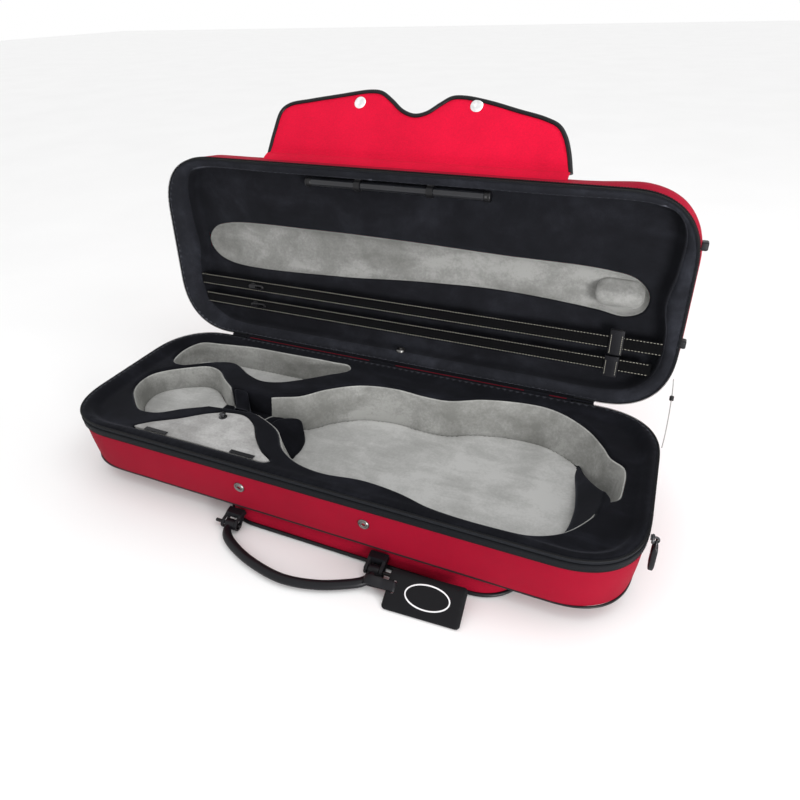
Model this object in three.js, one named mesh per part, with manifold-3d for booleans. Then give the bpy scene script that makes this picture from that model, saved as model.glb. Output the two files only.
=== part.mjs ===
// Oblong violin case, shown open: a zip-up base with a fitted foam insert, a
// lid that stands open on a stay cord, a snap-down flap, a carrying handle with
// a luggage tag, and a flat music pocket under the base.
//
// Millimetres, +Z up, +X along the case, the hinge side at +Y. The origin is
// the centre of the flat underside that the case rests on.

import * as THREE from 'three';
import { mergeVertices } from 'three/addons/utils/BufferGeometryUtils.js';
import Module from 'manifold-3d';

const wasm = await Module();
wasm.setup();

// ---- Driving dimensions -----------------------------------------------------

const LENGTH = 790;
const WIDTH = 290;
const CORNER = 92;
const CORNER_POWER = 2.45;
const POCKET_HEIGHT = 24;
const BASE_HEIGHT = 80;
const LID_HEIGHT = 50;
const BASE_DRAFT = 6.8;
const LID_DRAFT = 3;
const LID_OPEN_ANGLE = THREE.MathUtils.degToRad(93);
const GAP = 0.35;

const RIM_Z = POCKET_HEIGHT + BASE_HEIGHT;
const LID_RIM_Z = RIM_Z + 0.9;
const LID_TOP_Z = LID_RIM_Z + LID_HEIGHT;
const HINGE_Y = WIDTH / 2 + 1.5;
const HINGE_Z = RIM_Z + 0.6;
const HINGE_LENGTH = 540;

// Layers of the wall, each measured inwards from the rim's outer line.
const COVER_OUT = 1.2;
const COVER_IN = 2.8;
const SHELL_OUT = COVER_IN + GAP;
const SHELL_IN = 9;
const FOAM_OUT = SHELL_IN + GAP;
const SKIN = COVER_IN - COVER_OUT;
const SHELL_FLOOR = 6;
const ZIPPER_HEIGHT = 6;
const BINDING_HEIGHT = 12;
const BAND_HEIGHT = ZIPPER_HEIGHT + BINDING_HEIGHT + 0.2;
const LID_BINDING_HEIGHT = 4;
const LID_BAND_HEIGHT = ZIPPER_HEIGHT + LID_BINDING_HEIGHT + 0.2;
const LIP_HEIGHT = 3.2;
const PIPING_RADIUS = 1.8;

const LINING = 2.2;
const VIOLIN_FLOOR_Z = RIM_Z - 66;
const TRAY_FLOOR_Z = RIM_Z - 50;
const CHANNEL_FLOOR_Z = RIM_Z - 40;
const LID_PANEL_DEPTH = 27;
const BOW_RECESS_DEPTH = 38;

const STRAP_DEPTH = 8;
const STRAP_THICKNESS = 1.6;
const STRAP_WIDTH = 15.5;
const STRAP_UPPER_Y = 54.5;
const STRAP_LOWER_Y = 88;

const SNAP_X = [-91, 86];
const SNAP_Z = RIM_Z - 40;
const SNAP_RADIUS = 7;

const HANDLE_HALF_SPAN = 104;
const HANDLE_PIN_Y = -156;
const HANDLE_PIN_Z = 8.2;
const HANDLE_RADIUS = 6;
const PIN_RADIUS = 2.4;

const FLAP_HINGE_Y = -(WIDTH / 2 + 1.2);
const FLAP_HINGE_Z = LID_TOP_Z + 1.2;
const FLAP_LEAN = THREE.MathUtils.degToRad(32);
const FLAP_THICKNESS = 2.8;
const FLAP_SNAP_RISE = 87;
const FLAP_SNAP_RADIUS = 9;

// ---- Colours and finishes ---------------------------------------------------

function finish(color, roughness, metalness = 0) {
  return new THREE.MeshStandardMaterial({ color, roughness, metalness });
}

const RED_FABRIC = finish(0xb02038, 0.8);
const BLACK_WEBBING = finish(0x1b1d20, 0.75);
const BLACK_PLASTIC = finish(0x151515, 0.5);
const BLACK_LEATHER = finish(0x1a1a1c, 0.5);
const CHARCOAL_VELVET = finish(0x303036, 0.95);
const GREY_SUEDE = finish(0xa5a5a1, 0.95);
const PALE_SUEDE = finish(0xc4c4c0, 0.95);
const FOAM_BOARD = finish(0x202020, 0.9);
const STEEL = finish(0x8c8c90, 0.3, 1);
const WHITE_METAL = finish(0xe8e8ea, 0.35, 0.9);
const CLEAR_PLASTIC = finish(0xd8dde0, 0.1);
const TAG_PLASTIC = finish(0x242428, 0.45);

// ---- Solids and booleans ----------------------------------------------------

function toSolid(geometry) {
  const bare = geometry.clone();
  bare.deleteAttribute('normal');
  bare.deleteAttribute('uv');
  const merged = mergeVertices(bare, 1e-4);
  return new wasm.Manifold(new wasm.Mesh({
    numProp: 3,
    vertProperties: new Float32Array(merged.attributes.position.array),
    triVerts: new Uint32Array(merged.index.array),
  }));
}

function toGeometry(solid) {
  const mesh = solid.getMesh();
  const geometry = new THREE.BufferGeometry();
  geometry.setAttribute('position', new THREE.BufferAttribute(mesh.vertProperties, 3));
  geometry.setIndex(new THREE.BufferAttribute(mesh.triVerts, 1));
  geometry.computeVertexNormals();
  return geometry;
}

function cut(body, ...tools) {
  return toGeometry(tools.reduce((rest, tool) => rest.subtract(toSolid(tool)), toSolid(body)));
}

function join(...pieces) {
  const [first, ...others] = pieces.map(toSolid);
  return toGeometry(others.reduce((sum, piece) => sum.add(piece), first));
}

function common(body, tool) {
  return toGeometry(toSolid(body).intersect(toSolid(tool)));
}

function box(x0, x1, y0, y1, z0, z1) {
  const geometry = new THREE.BoxGeometry(x1 - x0, y1 - y0, z1 - z0);
  return geometry.translate((x0 + x1) / 2, (y0 + y1) / 2, (z0 + z1) / 2);
}

// A prism over a closed plan outline, between two heights.
function prism(points, z0, z1) {
  const shape = new THREE.Shape(points);
  const geometry = new THREE.ExtrudeGeometry(shape, { depth: z1 - z0, bevelEnabled: false });
  return geometry.translate(0, 0, z0);
}

// A band between two outlines, between two heights.
function band(outer, inner, z0, z1) {
  const shape = new THREE.Shape(outer);
  shape.holes.push(new THREE.Path(inner));
  const geometry = new THREE.ExtrudeGeometry(shape, { depth: z1 - z0, bevelEnabled: false });
  return geometry.translate(0, 0, z0);
}

// A rounded cord that follows a closed plan outline at one height.
function ringCord(outlineAt, inset, z, radius) {
  const chamfer = radius * 0.55;
  const core = radius - chamfer;
  const shape = new THREE.Shape(outlineAt(inset - core));
  shape.holes.push(new THREE.Path(outlineAt(inset + core)));
  const geometry = new THREE.ExtrudeGeometry(shape, {
    depth: 2 * core,
    bevelThickness: chamfer,
    bevelSize: chamfer,
    bevelSegments: 1,
  });
  return geometry.translate(0, 0, z - core);
}

// A cord of round section along an open route.
function cordAlong(route, radius, steps, sides) {
  const section = new THREE.Shape();
  section.absarc(0, 0, radius, 0, Math.PI * 2, false);
  const curve = new THREE.CatmullRomCurve3(route, false, 'centripetal');
  return new THREE.ExtrudeGeometry(section, {
    steps,
    extrudePath: curve,
    curveSegments: sides,
    bevelEnabled: false,
  });
}

// A cylinder whose axis lies along X, Y or Z.
function rod(radius, length, axis, sides = 20) {
  const geometry = new THREE.CylinderGeometry(radius, radius, length, sides);
  if (axis === 'x') geometry.rotateZ(Math.PI / 2);
  if (axis === 'z') geometry.rotateX(Math.PI / 2);
  return geometry;
}

// ---- Plan outlines ----------------------------------------------------------

// The case's plan: a long rectangle with superelliptic corners.
function caseOutline(inset) {
  const corner = CORNER - inset;
  const halfLength = LENGTH / 2 - inset;
  const halfWidth = WIDTH / 2 - inset;
  return roundedPlan(halfLength, halfWidth, corner, CORNER_POWER, 7);
}

function roundedPlan(halfLength, halfWidth, corner, power, steps) {
  const signs = [[1, 1], [-1, 1], [-1, -1], [1, -1]];
  const points = [];
  signs.forEach(([sx, sy], quarter) => {
    for (let step = 0; step <= steps; step += 1) {
      const angle = ((quarter + step / steps) * Math.PI) / 2;
      const c = Math.abs(Math.cos(angle)) ** (2 / power);
      const s = Math.abs(Math.sin(angle)) ** (2 / power);
      const x = sx * (halfLength - corner + corner * c);
      const y = sy * (halfWidth - corner + corner * s);
      points.push(new THREE.Vector2(x, y));
    }
  });
  return points;
}

// A smooth closed outline through a few points.
function smoothOutline(pairs, samples) {
  const knots = pairs.map(([x, y]) => new THREE.Vector3(x, y, 0));
  const curve = new THREE.CatmullRomCurve3(knots, true, 'centripetal');
  const points = curve.getSpacedPoints(samples).slice(0, samples);
  const outline = points.map((point) => new THREE.Vector2(point.x, point.y));
  return THREE.ShapeUtils.isClockWise(outline) ? outline.reverse() : outline;
}

// How far a point is from a closed outline.
function clearance(point, outline) {
  return outline.reduce((least, start, index) => {
    const end = outline[(index + 1) % outline.length];
    const along = end.clone().sub(start);
    const reach = point.clone().sub(start).dot(along) / along.lengthSq();
    const nearest = along.multiplyScalar(THREE.MathUtils.clamp(reach, 0, 1)).add(start);
    return Math.min(least, nearest.distanceTo(point));
  }, Infinity);
}

// The same outline moved inwards along its normals; tight tips lose the points
// that would fold over each other.
function insetOutline(outline, distance) {
  const count = outline.length;
  const moved = outline.map((point, index) => {
    const arriving = point.clone().sub(outline[(index + count - 1) % count]).normalize();
    const leaving = outline[(index + 1) % count].clone().sub(point).normalize();
    const tangent = arriving.clone().add(leaving).normalize();
    const reach = distance / tangent.dot(arriving);
    return new THREE.Vector2(point.x - tangent.y * reach, point.y + tangent.x * reach);
  });
  return moved.filter((point) => clearance(point, outline) > Math.abs(distance) * 0.9);
}

// Leans every wall of a geometry inwards, from nothing at rimZ to draft at farZ.
function lean(geometry, rimZ, farZ, draft, halfLength, halfWidth, centre = [0, 0]) {
  const position = geometry.attributes.position;
  for (let i = 0; i < position.count; i += 1) {
    const share = (position.getZ(i) - rimZ) / (farZ - rimZ);
    const x = position.getX(i) - centre[0];
    const y = position.getY(i) - centre[1];
    position.setX(i, centre[0] + x * (1 - (share * draft) / halfLength));
    position.setY(i, centre[1] + y * (1 - (share * draft) / halfWidth));
  }
  return geometry;
}

function leanBase(geometry) {
  return lean(geometry, RIM_Z, POCKET_HEIGHT, BASE_DRAFT, LENGTH / 2, WIDTH / 2);
}

function leanLid(geometry) {
  return lean(geometry, LID_RIM_Z, LID_TOP_Z, LID_DRAFT, LENGTH / 2, WIDTH / 2);
}

const VIOLIN_OUTLINE = smoothOutline([
  [-146, -16], [-140, 6], [-98, 28], [-72, 56], [-28, 85], [25, 95], [75, 91], [110, 93],
  [155, 113], [210, 124], [262, 121], [304, 98], [328, 70], [340, 50], [358, 36], [361, 0],
  [358, -24], [344, -38], [332, -68], [306, -103], [270, -122], [220, -127], [165, -123],
  [118, -112], [70, -108], [17, -114], [-22, -108], [-55, -90], [-84, -58], [-124, -39],
  [-142, -33],
], 60);

const SCROLL_OUTLINE = smoothOutline([
  [-361, -20], [-360, 4], [-345, 24], [-315, 44], [-285, 55], [-258, 48], [-232, 28], [-206, 10],
  [-188, -8], [-186, -28], [-206, -44], [-236, -62], [-268, -82], [-302, -82], [-332, -62],
  [-352, -42],
], 36);

const BACK_OUTLINE = smoothOutline([
  [-363, 72], [-362, 100], [-345, 119], [-270, 127], [-180, 129], [-100, 130], [-66, 128],
  [-62, 114], [-88, 90], [-122, 62], [-148, 46], [-174, 41], [-204, 50], [-246, 71], [-285, 64],
  [-330, 44], [-354, 50],
], 40);

const FRONT_OUTLINE = smoothOutline([
  [-274, -122], [-262, -108], [-226, -84], [-196, -60], [-170, -48], [-142, -46], [-120, -58],
  [-98, -84], [-76, -104], [-54, -118], [-60, -124], [-90, -124.5], [-165, -124.5],
  [-245, -124.5],
], 38);

const FRONT_TRAY_OUTLINE = smoothOutline([
  [-252, -118], [-240, -107], [-218, -88], [-190, -66], [-168, -54], [-146, -53], [-128, -62],
  [-106, -86], [-86, -104], [-76, -114], [-92, -119], [-165, -119.5], [-235, -119.5],
], 34);

const LID_CAVITY_OUTLINE = smoothOutline([
  [-345, -122], [-325, -129], [-200, -130], [0, -130], [200, -130], [335, -129], [362, -120],
  [376, -98], [376, -50], [370, -5], [377, 40], [372, 88], [350, 116], [318, 126], [200, 127],
  [0, 127], [-200, 127], [-290, 126], [-322, 116], [-346, 88], [-351, 30], [-353, -40],
  [-358, -100],
], 52);

const BOW_OUTLINE = smoothOutline([
  [-345, -8], [-332, -29], [-300, -40], [-150, -44], [0, -43], [150, -39], [290, -36],
  [330, -28], [348, -8], [344, 14], [322, 25], [285, 20], [154, 12], [20, 17], [-100, 26],
  [-300, 28], [-334, 14],
], 40);

const POCKET_CENTRE = [67, -10];
const POCKET_HALF_LENGTH = 205;
const POCKET_HALF_WIDTH = 130;

function pocketOutline(inset) {
  const outline = roundedPlan(POCKET_HALF_LENGTH - inset, POCKET_HALF_WIDTH - inset, 60 - inset, 2.2, 6);
  return outline.map((point) => point.add(new THREE.Vector2(...POCKET_CENTRE)));
}

const FLAP_OUTLINE = [
  [229, 2.5], [222, 29], [213, 51], [202, 65], [182, 74], [146, 83], [103, 94], [66, 100], [48, 98.5],
  [33, 89], [15, 76], [-2, 72], [-21, 78], [-41, 93], [-59, 104], [-78, 106], [-126, 99], [-175, 90],
  [-210, 81.5], [-222, 70], [-227, 37], [-229, 2.5],
].map(([x, s]) => new THREE.Vector2(x, s));

// ---- Assembly helpers -------------------------------------------------------

const violinCase = new THREE.Group();

// Lid pieces are drawn as they lie when the case is shut, then turned open.
const lidTurn = new THREE.Group();
lidTurn.position.set(0, HINGE_Y, HINGE_Z);
lidTurn.rotation.x = -LID_OPEN_ANGLE;
violinCase.add(lidTurn);
const lid = new THREE.Group();
lid.position.set(0, -HINGE_Y, -HINGE_Z);
lidTurn.add(lid);

function place(parent, name, geometry, material) {
  const mesh = new THREE.Mesh(geometry, material);
  mesh.name = name;
  parent.add(mesh);
  return mesh;
}

// The box that takes the zipped band away along the hinge.
function hingeStretch(z0, z1, extra = 0) {
  const half = HINGE_LENGTH / 2 + extra;
  return box(-half, half, WIDTH / 2 - 20, WIDTH / 2 + 5, z0, z1);
}

// ---- Base: shell, fabric cover, bands and piping ----------------------------

function buildBaseCase() {
  const floor = POCKET_HEIGHT + SKIN;
  const skinWall = prism(caseOutline(COVER_OUT), POCKET_HEIGHT, RIM_Z - BAND_HEIGHT);
  const skinHollow = prism(caseOutline(COVER_IN), floor, RIM_Z);
  const backWall = common(
    band(caseOutline(COVER_OUT), caseOutline(COVER_IN), RIM_Z - BAND_HEIGHT - 1, RIM_Z - 0.3),
    hingeStretch(0, RIM_Z, -GAP),
  );
  const cover = join(cut(skinWall, skinHollow), backWall);
  place(violinCase, 'base_cover', leanBase(cover), RED_FABRIC);

  const shellBottom = floor + GAP;
  const shell = cut(
    prism(caseOutline(SHELL_OUT), shellBottom, RIM_Z - LIP_HEIGHT - GAP - 0.5),
    prism(caseOutline(SHELL_IN), shellBottom + SHELL_FLOOR, RIM_Z),
  );
  place(violinCase, 'base_shell', leanBase(shell), FOAM_BOARD);

  const binding = cut(
    band(caseOutline(0), caseOutline(COVER_IN), RIM_Z - BAND_HEIGHT + 0.2, RIM_Z - ZIPPER_HEIGHT - 0.2),
    hingeStretch(0, RIM_Z),
  );
  place(violinCase, 'base_binding', leanBase(binding), BLACK_WEBBING);

  const zipper = cut(
    band(caseOutline(0.8), caseOutline(COVER_IN), RIM_Z - ZIPPER_HEIGHT, RIM_Z - 0.1),
    hingeStretch(0, RIM_Z),
  );
  place(violinCase, 'base_zipper', leanBase(zipper), BLACK_PLASTIC);

  const edge = COVER_OUT + BASE_DRAFT;
  const piping = ringCord(caseOutline, edge - 1.7, POCKET_HEIGHT - 1.4, PIPING_RADIUS);
  place(violinCase, 'base_piping', piping, BLACK_WEBBING);

  const tapeInner = WIDTH / 2 - COVER_OUT + GAP;
  const half = HINGE_LENGTH / 2 - 2;
  const tape = box(-half, half, tapeInner, tapeInner + 1.2, RIM_Z - 15, RIM_Z - 0.3);
  place(violinCase, 'hinge_tape', tape, RED_FABRIC);
}

// ---- Music pocket under the base --------------------------------------------

function buildPocket() {
  const body = prism(pocketOutline(0), 0, POCKET_HEIGHT - GAP - 0.3);
  const setBack = 8;
  lean(body, 4, POCKET_HEIGHT, setBack, POCKET_HALF_LENGTH, POCKET_HALF_WIDTH, POCKET_CENTRE);
  const lower = common(body, prism(pocketOutline(0), 0, POCKET_HEIGHT));
  place(violinCase, 'bottom_pocket', lower, RED_FABRIC);
  const piping = ringCord(pocketOutline, -2.3, 2.8, 2);
  place(violinCase, 'pocket_piping', piping, BLACK_WEBBING);
}

// ---- Foam insert and its linings --------------------------------------------

function channelBox(margin, z0) {
  return box(-215, -118, -35 - margin, 7 + margin, z0, RIM_Z + 1);
}

// Each lined cavity of the insert: its plan, its floor, the height of its rim
// and how far its walls lean in, with the plan's centre and half sizes.
const TRAYS = {
  violin_bed: {
    plan: VIOLIN_OUTLINE,
    floor: VIOLIN_FLOOR_Z,
    rim: RIM_Z - 0.8,
    leanIn: 15,
    centre: [107, -2],
    half: [250, 125],
  },
  scroll_tray: {
    plan: SCROLL_OUTLINE,
    floor: TRAY_FLOOR_Z,
    rim: RIM_Z - 0.8,
    leanIn: 6,
    centre: [-275, -13],
    half: [88, 68],
  },
  back_tray: {
    plan: BACK_OUTLINE,
    floor: TRAY_FLOOR_Z,
    rim: RIM_Z - 0.8,
    leanIn: 4,
    centre: [-220, 88],
    half: [145, 42],
  },
  front_tray: {
    plan: FRONT_TRAY_OUTLINE,
    floor: TRAY_FLOOR_Z,
    rim: RIM_Z - 6.4,
    leanIn: 3,
    centre: [-165, -90],
    half: [90, 34],
  },
};

// The open space inside a tray, shrunk by a margin on every side.
function trayHollow(tray, margin) {
  const plan = insetOutline(tray.plan, GAP + LINING + margin);
  const hollow = prism(plan, tray.floor + GAP + LINING + margin, tray.rim + 1);
  return lean(hollow, tray.rim, tray.floor, tray.leanIn, tray.half[0], tray.half[1], tray.centre);
}

// A lining tray: a cup inside a cavity outline, its walls leaning in to the floor.
function liningCup(tray) {
  const outer = prism(insetOutline(tray.plan, GAP), tray.floor + GAP, tray.rim);
  return cut(outer, trayHollow(tray, 0));
}

function buildInsert() {
  const shellInside = POCKET_HEIGHT + SKIN + GAP + SHELL_FLOOR;
  const block = prism(caseOutline(FOAM_OUT), shellInside + GAP, RIM_Z - 0.5);
  const lip = prism(caseOutline(SHELL_OUT), RIM_Z - LIP_HEIGHT - 0.5, RIM_Z - 0.5);
  const panelSeat = prism(FRONT_OUTLINE, RIM_Z - 6, RIM_Z + 1);
  const cavities = Object.values(TRAYS).map((tray) => prism(tray.plan, tray.floor, RIM_Z + 1));
  const channelCut = channelBox(0, CHANNEL_FLOOR_Z);
  const insert = cut(leanBase(join(block, lip)), ...cavities, panelSeat, channelCut);
  place(violinCase, 'base_insert', insert, CHARCOAL_VELVET);

  const channel = channelBox(GAP, CHANNEL_FLOOR_Z - GAP);
  for (const [name, tray] of Object.entries(TRAYS)) {
    const opensToChannel = tray.plan === VIOLIN_OUTLINE || tray.plan === SCROLL_OUTLINE;
    const cup = liningCup(tray);
    place(violinCase, name, opensToChannel ? cut(cup, channel) : cup, GREY_SUEDE);
  }

  const cradle = box(-176, -152, -34.5, 6.5, CHANNEL_FLOOR_Z + GAP, RIM_Z - 7);
  const neckRest = rod(16, 40, 'x', 28).translate(-164, -14, RIM_Z - 7);
  place(violinCase, 'neck_cradle', cut(cradle, neckRest), CHARCOAL_VELVET);
}

// Wedge cushions that hold the violin's body clear of the floor.
function buildPads() {
  const floor = VIOLIN_FLOOR_Z + GAP + LINING + GAP;
  const room = trayHollow(TRAYS.violin_bed, 0.6);
  const lowerPlan = [[292, 90], [299, 58], [306, 20], [310, -17], [309, -50], [300, -86], [330, -84],
    [352, -45], [362, -5], [352, 40], [336, 62], [318, 86], [302, 98]];
  const lower = prism(smoothOutline(lowerPlan, 36), floor, floor + 52);
  const lowerSlope = box(-90, 90, -120, 120, 0, 90);
  lowerSlope.rotateY(THREE.MathUtils.degToRad(-44)).translate(300, 0, floor + 6);
  place(violinCase, 'lower_pad', common(cut(lower, lowerSlope), room), CHARCOAL_VELVET);

  const upperPlan = [[-126, -24], [-112, -44], [-90, -60], [-72, -58], [-66, -36], [-72, -10],
    [-84, 8], [-100, 26], [-118, 16], [-130, 0]];
  const upper = prism(smoothOutline(upperPlan, 28), floor, floor + 26);
  const upperSlope = box(-90, 90, -120, 120, 0, 60);
  upperSlope.rotateY(THREE.MathUtils.degToRad(22)).translate(-72, 0, floor + 10);
  place(violinCase, 'upper_pad', common(cut(upper, upperSlope), room), CHARCOAL_VELVET);
}

// ---- Accessory compartment lid ----------------------------------------------

function buildAccessoryLid() {
  const underside = RIM_Z - 5.6;
  const thickness = 2.2;
  const panel = prism(insetOutline(FRONT_OUTLINE, 0.9), underside, underside + thickness);
  place(violinCase, 'accessory_lid', panel, PALE_SUEDE);
  const surface = underside + thickness;
  const profile = [[0, 0], [4.2, 0], [4.2, 1.4], [2.2, 1.8], [2, 3], [3.4, 3.6], [3.2, 5], [0, 5.4]];
  const knob = new THREE.LatheGeometry(profile.map(([r, h]) => new THREE.Vector2(r, h)), 16);
  knob.rotateX(Math.PI / 2).translate(-168, -62, surface + GAP);
  place(violinCase, 'accessory_knob', knob, STEEL);
  const strips = { left: [-252, -216], right: [-112, -76] };
  for (const [side, [x0, x1]] of Object.entries(strips)) {
    const strip = box(x0, x1, -122.6, -117.4, surface + GAP, surface + GAP + 0.8);
    place(violinCase, `accessory_hinge_${side}`, strip, BLACK_LEATHER);
  }
}

// ---- Snaps ------------------------------------------------------------------

// A round metal snap whose face looks along +Z, standing on z = 0.
function snapGeometry(radius, height) {
  const profile = [
    [0, 0], [radius, 0], [radius, height * 0.6], [radius * 0.86, height],
    [radius * 0.45, height], [radius * 0.3, height * 0.45], [0, height * 0.45],
  ];
  const geometry = new THREE.LatheGeometry(profile.map(([r, h]) => new THREE.Vector2(r, h)), 16);
  return geometry.rotateX(Math.PI / 2);
}

function buildBaseSnaps() {
  const wallLean = Math.atan2(BASE_DRAFT, BASE_HEIGHT);
  const share = (RIM_Z - SNAP_Z) / BASE_HEIGHT;
  const wallY = WIDTH / 2 - COVER_OUT - BASE_DRAFT * share;
  ['left', 'right'].forEach((side, index) => {
    const snap = place(violinCase, `base_snap_${side}`, snapGeometry(SNAP_RADIUS, 3), STEEL);
    snap.rotation.x = Math.PI / 2 + wallLean;
    snap.position.set(SNAP_X[index], -wallY - GAP - 0.1, SNAP_Z);
  });
}

// ---- Handle, its anchors and the luggage tag --------------------------------

function buildHandle() {
  const side = { left: -1, right: 1 };
  const tabProfile = [
    [-137, 20.2], [-144, 20.4], [-151, 17.4], [-160, 14.5], [-163, 9], [-161, 4], [-156, 2.4],
    [-150.5, 3.8], [-148.4, 7], [-142, 13], [-139, 17.5],
  ];
  for (const [name, sign] of Object.entries(side)) {
    const centre = sign * HANDLE_HALF_SPAN;
    const shape = new THREE.Shape(tabProfile.map(([y, z]) => new THREE.Vector2(y, z)));
    const strap = new THREE.ExtrudeGeometry(shape, { depth: 24, bevelEnabled: false });
    strap.rotateY(Math.PI / 2).rotateX(Math.PI / 2).translate(centre - 12, 0, 0);
    const bore = rod(PIN_RADIUS + 0.4, 60, 'x', 12).translate(centre, HANDLE_PIN_Y, HANDLE_PIN_Z);
    const notch = box(centre - 7.4, centre + 7.4, -170, -148.6, 0, 30);
    place(violinCase, `handle_tab_${name}`, cut(strap, notch, bore), BLACK_LEATHER);

    const pin = place(violinCase, `handle_pin_${name}`, rod(PIN_RADIUS, 38, 'x', 12), BLACK_PLASTIC);
    pin.position.set(centre + sign * 5, HANDLE_PIN_Y, HANDLE_PIN_Z);
  }

  const route = [
    [-104, -158, 8.2], [-103.4, -166, 7.6], [-95, -176, 7], [-74, -188, 6.8], [-40, -200, 6.8],
    [6, -207, 6.8], [48, -200, 6.8], [79, -187, 6.8], [97, -176, 7], [103.4, -166, 7.6],
    [104, -158, 8.2],
  ].map((point) => new THREE.Vector3(...point));
  const grip = cordAlong(route, HANDLE_RADIUS, 24, 8);
  const ends = [-1, 1].map((sign) => {
    const x = sign * HANDLE_HALF_SPAN;
    return rod(6.6, 14, 'x', 16).translate(x, HANDLE_PIN_Y, HANDLE_PIN_Z);
  });
  const bores = [-1, 1].map((sign) => {
    const x = sign * HANDLE_HALF_SPAN;
    return rod(PIN_RADIUS + 0.4, 20, 'x', 12).translate(x, HANDLE_PIN_Y, HANDLE_PIN_Z);
  });
  place(violinCase, 'handle', cut(join(grip, ...ends), ...bores), BLACK_LEATHER);
}

const TAG_LENGTH = 92;
const TAG_WIDTH = 46;
const TAG_THICKNESS = 2;

function buildTag() {
  const tag = new THREE.Group();
  tag.position.set(175, -174.4, 11.6);
  tag.rotation.set(THREE.MathUtils.degToRad(27), 0, THREE.MathUtils.degToRad(3), 'ZYX');
  violinCase.add(tag);
  const card = new THREE.Shape(roundedPlan(TAG_LENGTH / 2, TAG_WIDTH / 2, 4, 2, 3));
  const slotX = -TAG_LENGTH / 2 + 8;
  const slot = roundedPlan(2.2, 8, 2, 2, 2).map((p) => p.add(new THREE.Vector2(slotX, 3)));
  card.holes.push(new THREE.Path(slot));
  const body = new THREE.ExtrudeGeometry(card, { depth: TAG_THICKNESS, bevelEnabled: false });
  place(tag, 'tag_card', body.translate(0, 0, -TAG_THICKNESS / 2), TAG_PLASTIC);

  const right = slotX + 1;
  const left = -TAG_LENGTH / 2 - 20;
  const half = TAG_THICKNESS / 2 + 1.8;
  const loop = cut(
    box(left, right, -3, 9, -half, half),
    box(left + 1, right - 1, -4, 10, -half + 1, half - 1),
  );
  place(tag, 'tag_strap', loop, BLACK_LEATHER);
}

// ---- Zip slider and its leather pull ----------------------------------------

const SLIDER_Y = -80;

function buildSlider() {
  const wall = LENGTH / 2;
  const body = box(wall + 0.4, wall + 4.4, SLIDER_Y - 6, SLIDER_Y + 6, RIM_Z - 9, RIM_Z - 1);
  const eye = box(wall + 4.2, wall + 8.6, SLIDER_Y - 2.5, SLIDER_Y + 2.5, RIM_Z - 8.5, RIM_Z - 2.5);
  const bore = rod(1.9, 20, 'y', 12).translate(wall + 6, SLIDER_Y, RIM_Z - 5.5);
  place(violinCase, 'zipper_slider', cut(join(body, eye), bore), STEEL);

  const wire = 1;
  const halfWidth = 4.6;
  const top = RIM_Z - 5.5;
  const outer = box(-wire, wire, -halfWidth - wire, halfWidth + wire, -14, wire);
  const inner = box(-2, 2, -halfWidth + wire, halfWidth - wire, -14 + 2 * wire, -wire);
  const ring = place(violinCase, 'pull_ring', cut(outer, inner), STEEL);
  ring.position.set(wall + 6, SLIDER_Y, top);
  const strapTop = top - 14 + 2 * wire - 0.4;
  const strap = cut(
    box(wall + 3.2, wall + 8.8, SLIDER_Y - 3, SLIDER_Y + 3, strapTop - 26, strapTop + 1.6),
    box(wall + 4.4, wall + 7.6, SLIDER_Y - 4, SLIDER_Y + 4, strapTop - 3.4, strapTop + 0.4),
  );
  place(violinCase, 'pull_strap', strap, BLACK_LEATHER);
}

// ---- Lid: shell, cover, bands, liner ----------------------------------------

function buildLidCase() {
  const roof = LID_TOP_Z - SKIN;
  const skinWall = prism(caseOutline(COVER_OUT), LID_RIM_Z + LID_BAND_HEIGHT, LID_TOP_Z);
  const skinHollow = prism(caseOutline(COVER_IN), LID_RIM_Z, roof);
  const bandTop = LID_RIM_Z + LID_BAND_HEIGHT + 1;
  const backWall = common(
    band(caseOutline(COVER_OUT), caseOutline(COVER_IN), LID_RIM_Z, bandTop),
    hingeStretch(LID_RIM_Z, LID_TOP_Z, -GAP),
  );
  const cover = join(cut(skinWall, skinHollow), backWall);
  place(lid, 'lid_cover', leanLid(cover), RED_FABRIC);

  const shell = cut(
    prism(caseOutline(SHELL_OUT), LID_RIM_Z + 0.5 + LIP_HEIGHT + GAP, roof - GAP),
    prism(caseOutline(SHELL_IN), LID_RIM_Z, roof - GAP - SHELL_FLOOR),
  );
  place(lid, 'lid_shell', leanLid(shell), FOAM_BOARD);

  const bindingTop = LID_RIM_Z + LID_BAND_HEIGHT - 0.2;
  const binding = cut(
    band(caseOutline(0), caseOutline(COVER_IN), LID_RIM_Z + ZIPPER_HEIGHT + 0.2, bindingTop),
    hingeStretch(LID_RIM_Z, LID_TOP_Z),
  );
  place(lid, 'lid_binding', leanLid(binding), BLACK_WEBBING);
  const zipper = cut(
    band(caseOutline(0.8), caseOutline(COVER_IN), LID_RIM_Z, LID_RIM_Z + ZIPPER_HEIGHT),
    hingeStretch(0, LID_TOP_Z),
  );
  place(lid, 'lid_zipper', leanLid(zipper), BLACK_PLASTIC);
  const edge = COVER_OUT + LID_DRAFT;
  const piping = ringCord(caseOutline, edge - 1.7, LID_TOP_Z + 1.4, PIPING_RADIUS);
  place(lid, 'lid_piping', piping, BLACK_WEBBING);

  const linerTop = roof - GAP - SHELL_FLOOR - GAP;
  const block = prism(caseOutline(FOAM_OUT), LID_RIM_Z + 0.5, linerTop);
  const lip = prism(caseOutline(SHELL_OUT), LID_RIM_Z + 0.5, LID_RIM_Z + 0.5 + LIP_HEIGHT);
  const liner = cut(
    leanLid(join(block, lip)),
    prism(LID_CAVITY_OUTLINE, LID_RIM_Z - 1, LID_RIM_Z + LID_PANEL_DEPTH),
    prism(BOW_OUTLINE, LID_RIM_Z, LID_RIM_Z + BOW_RECESS_DEPTH),
  );
  place(lid, 'lid_liner', liner, CHARCOAL_VELVET);
}

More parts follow.
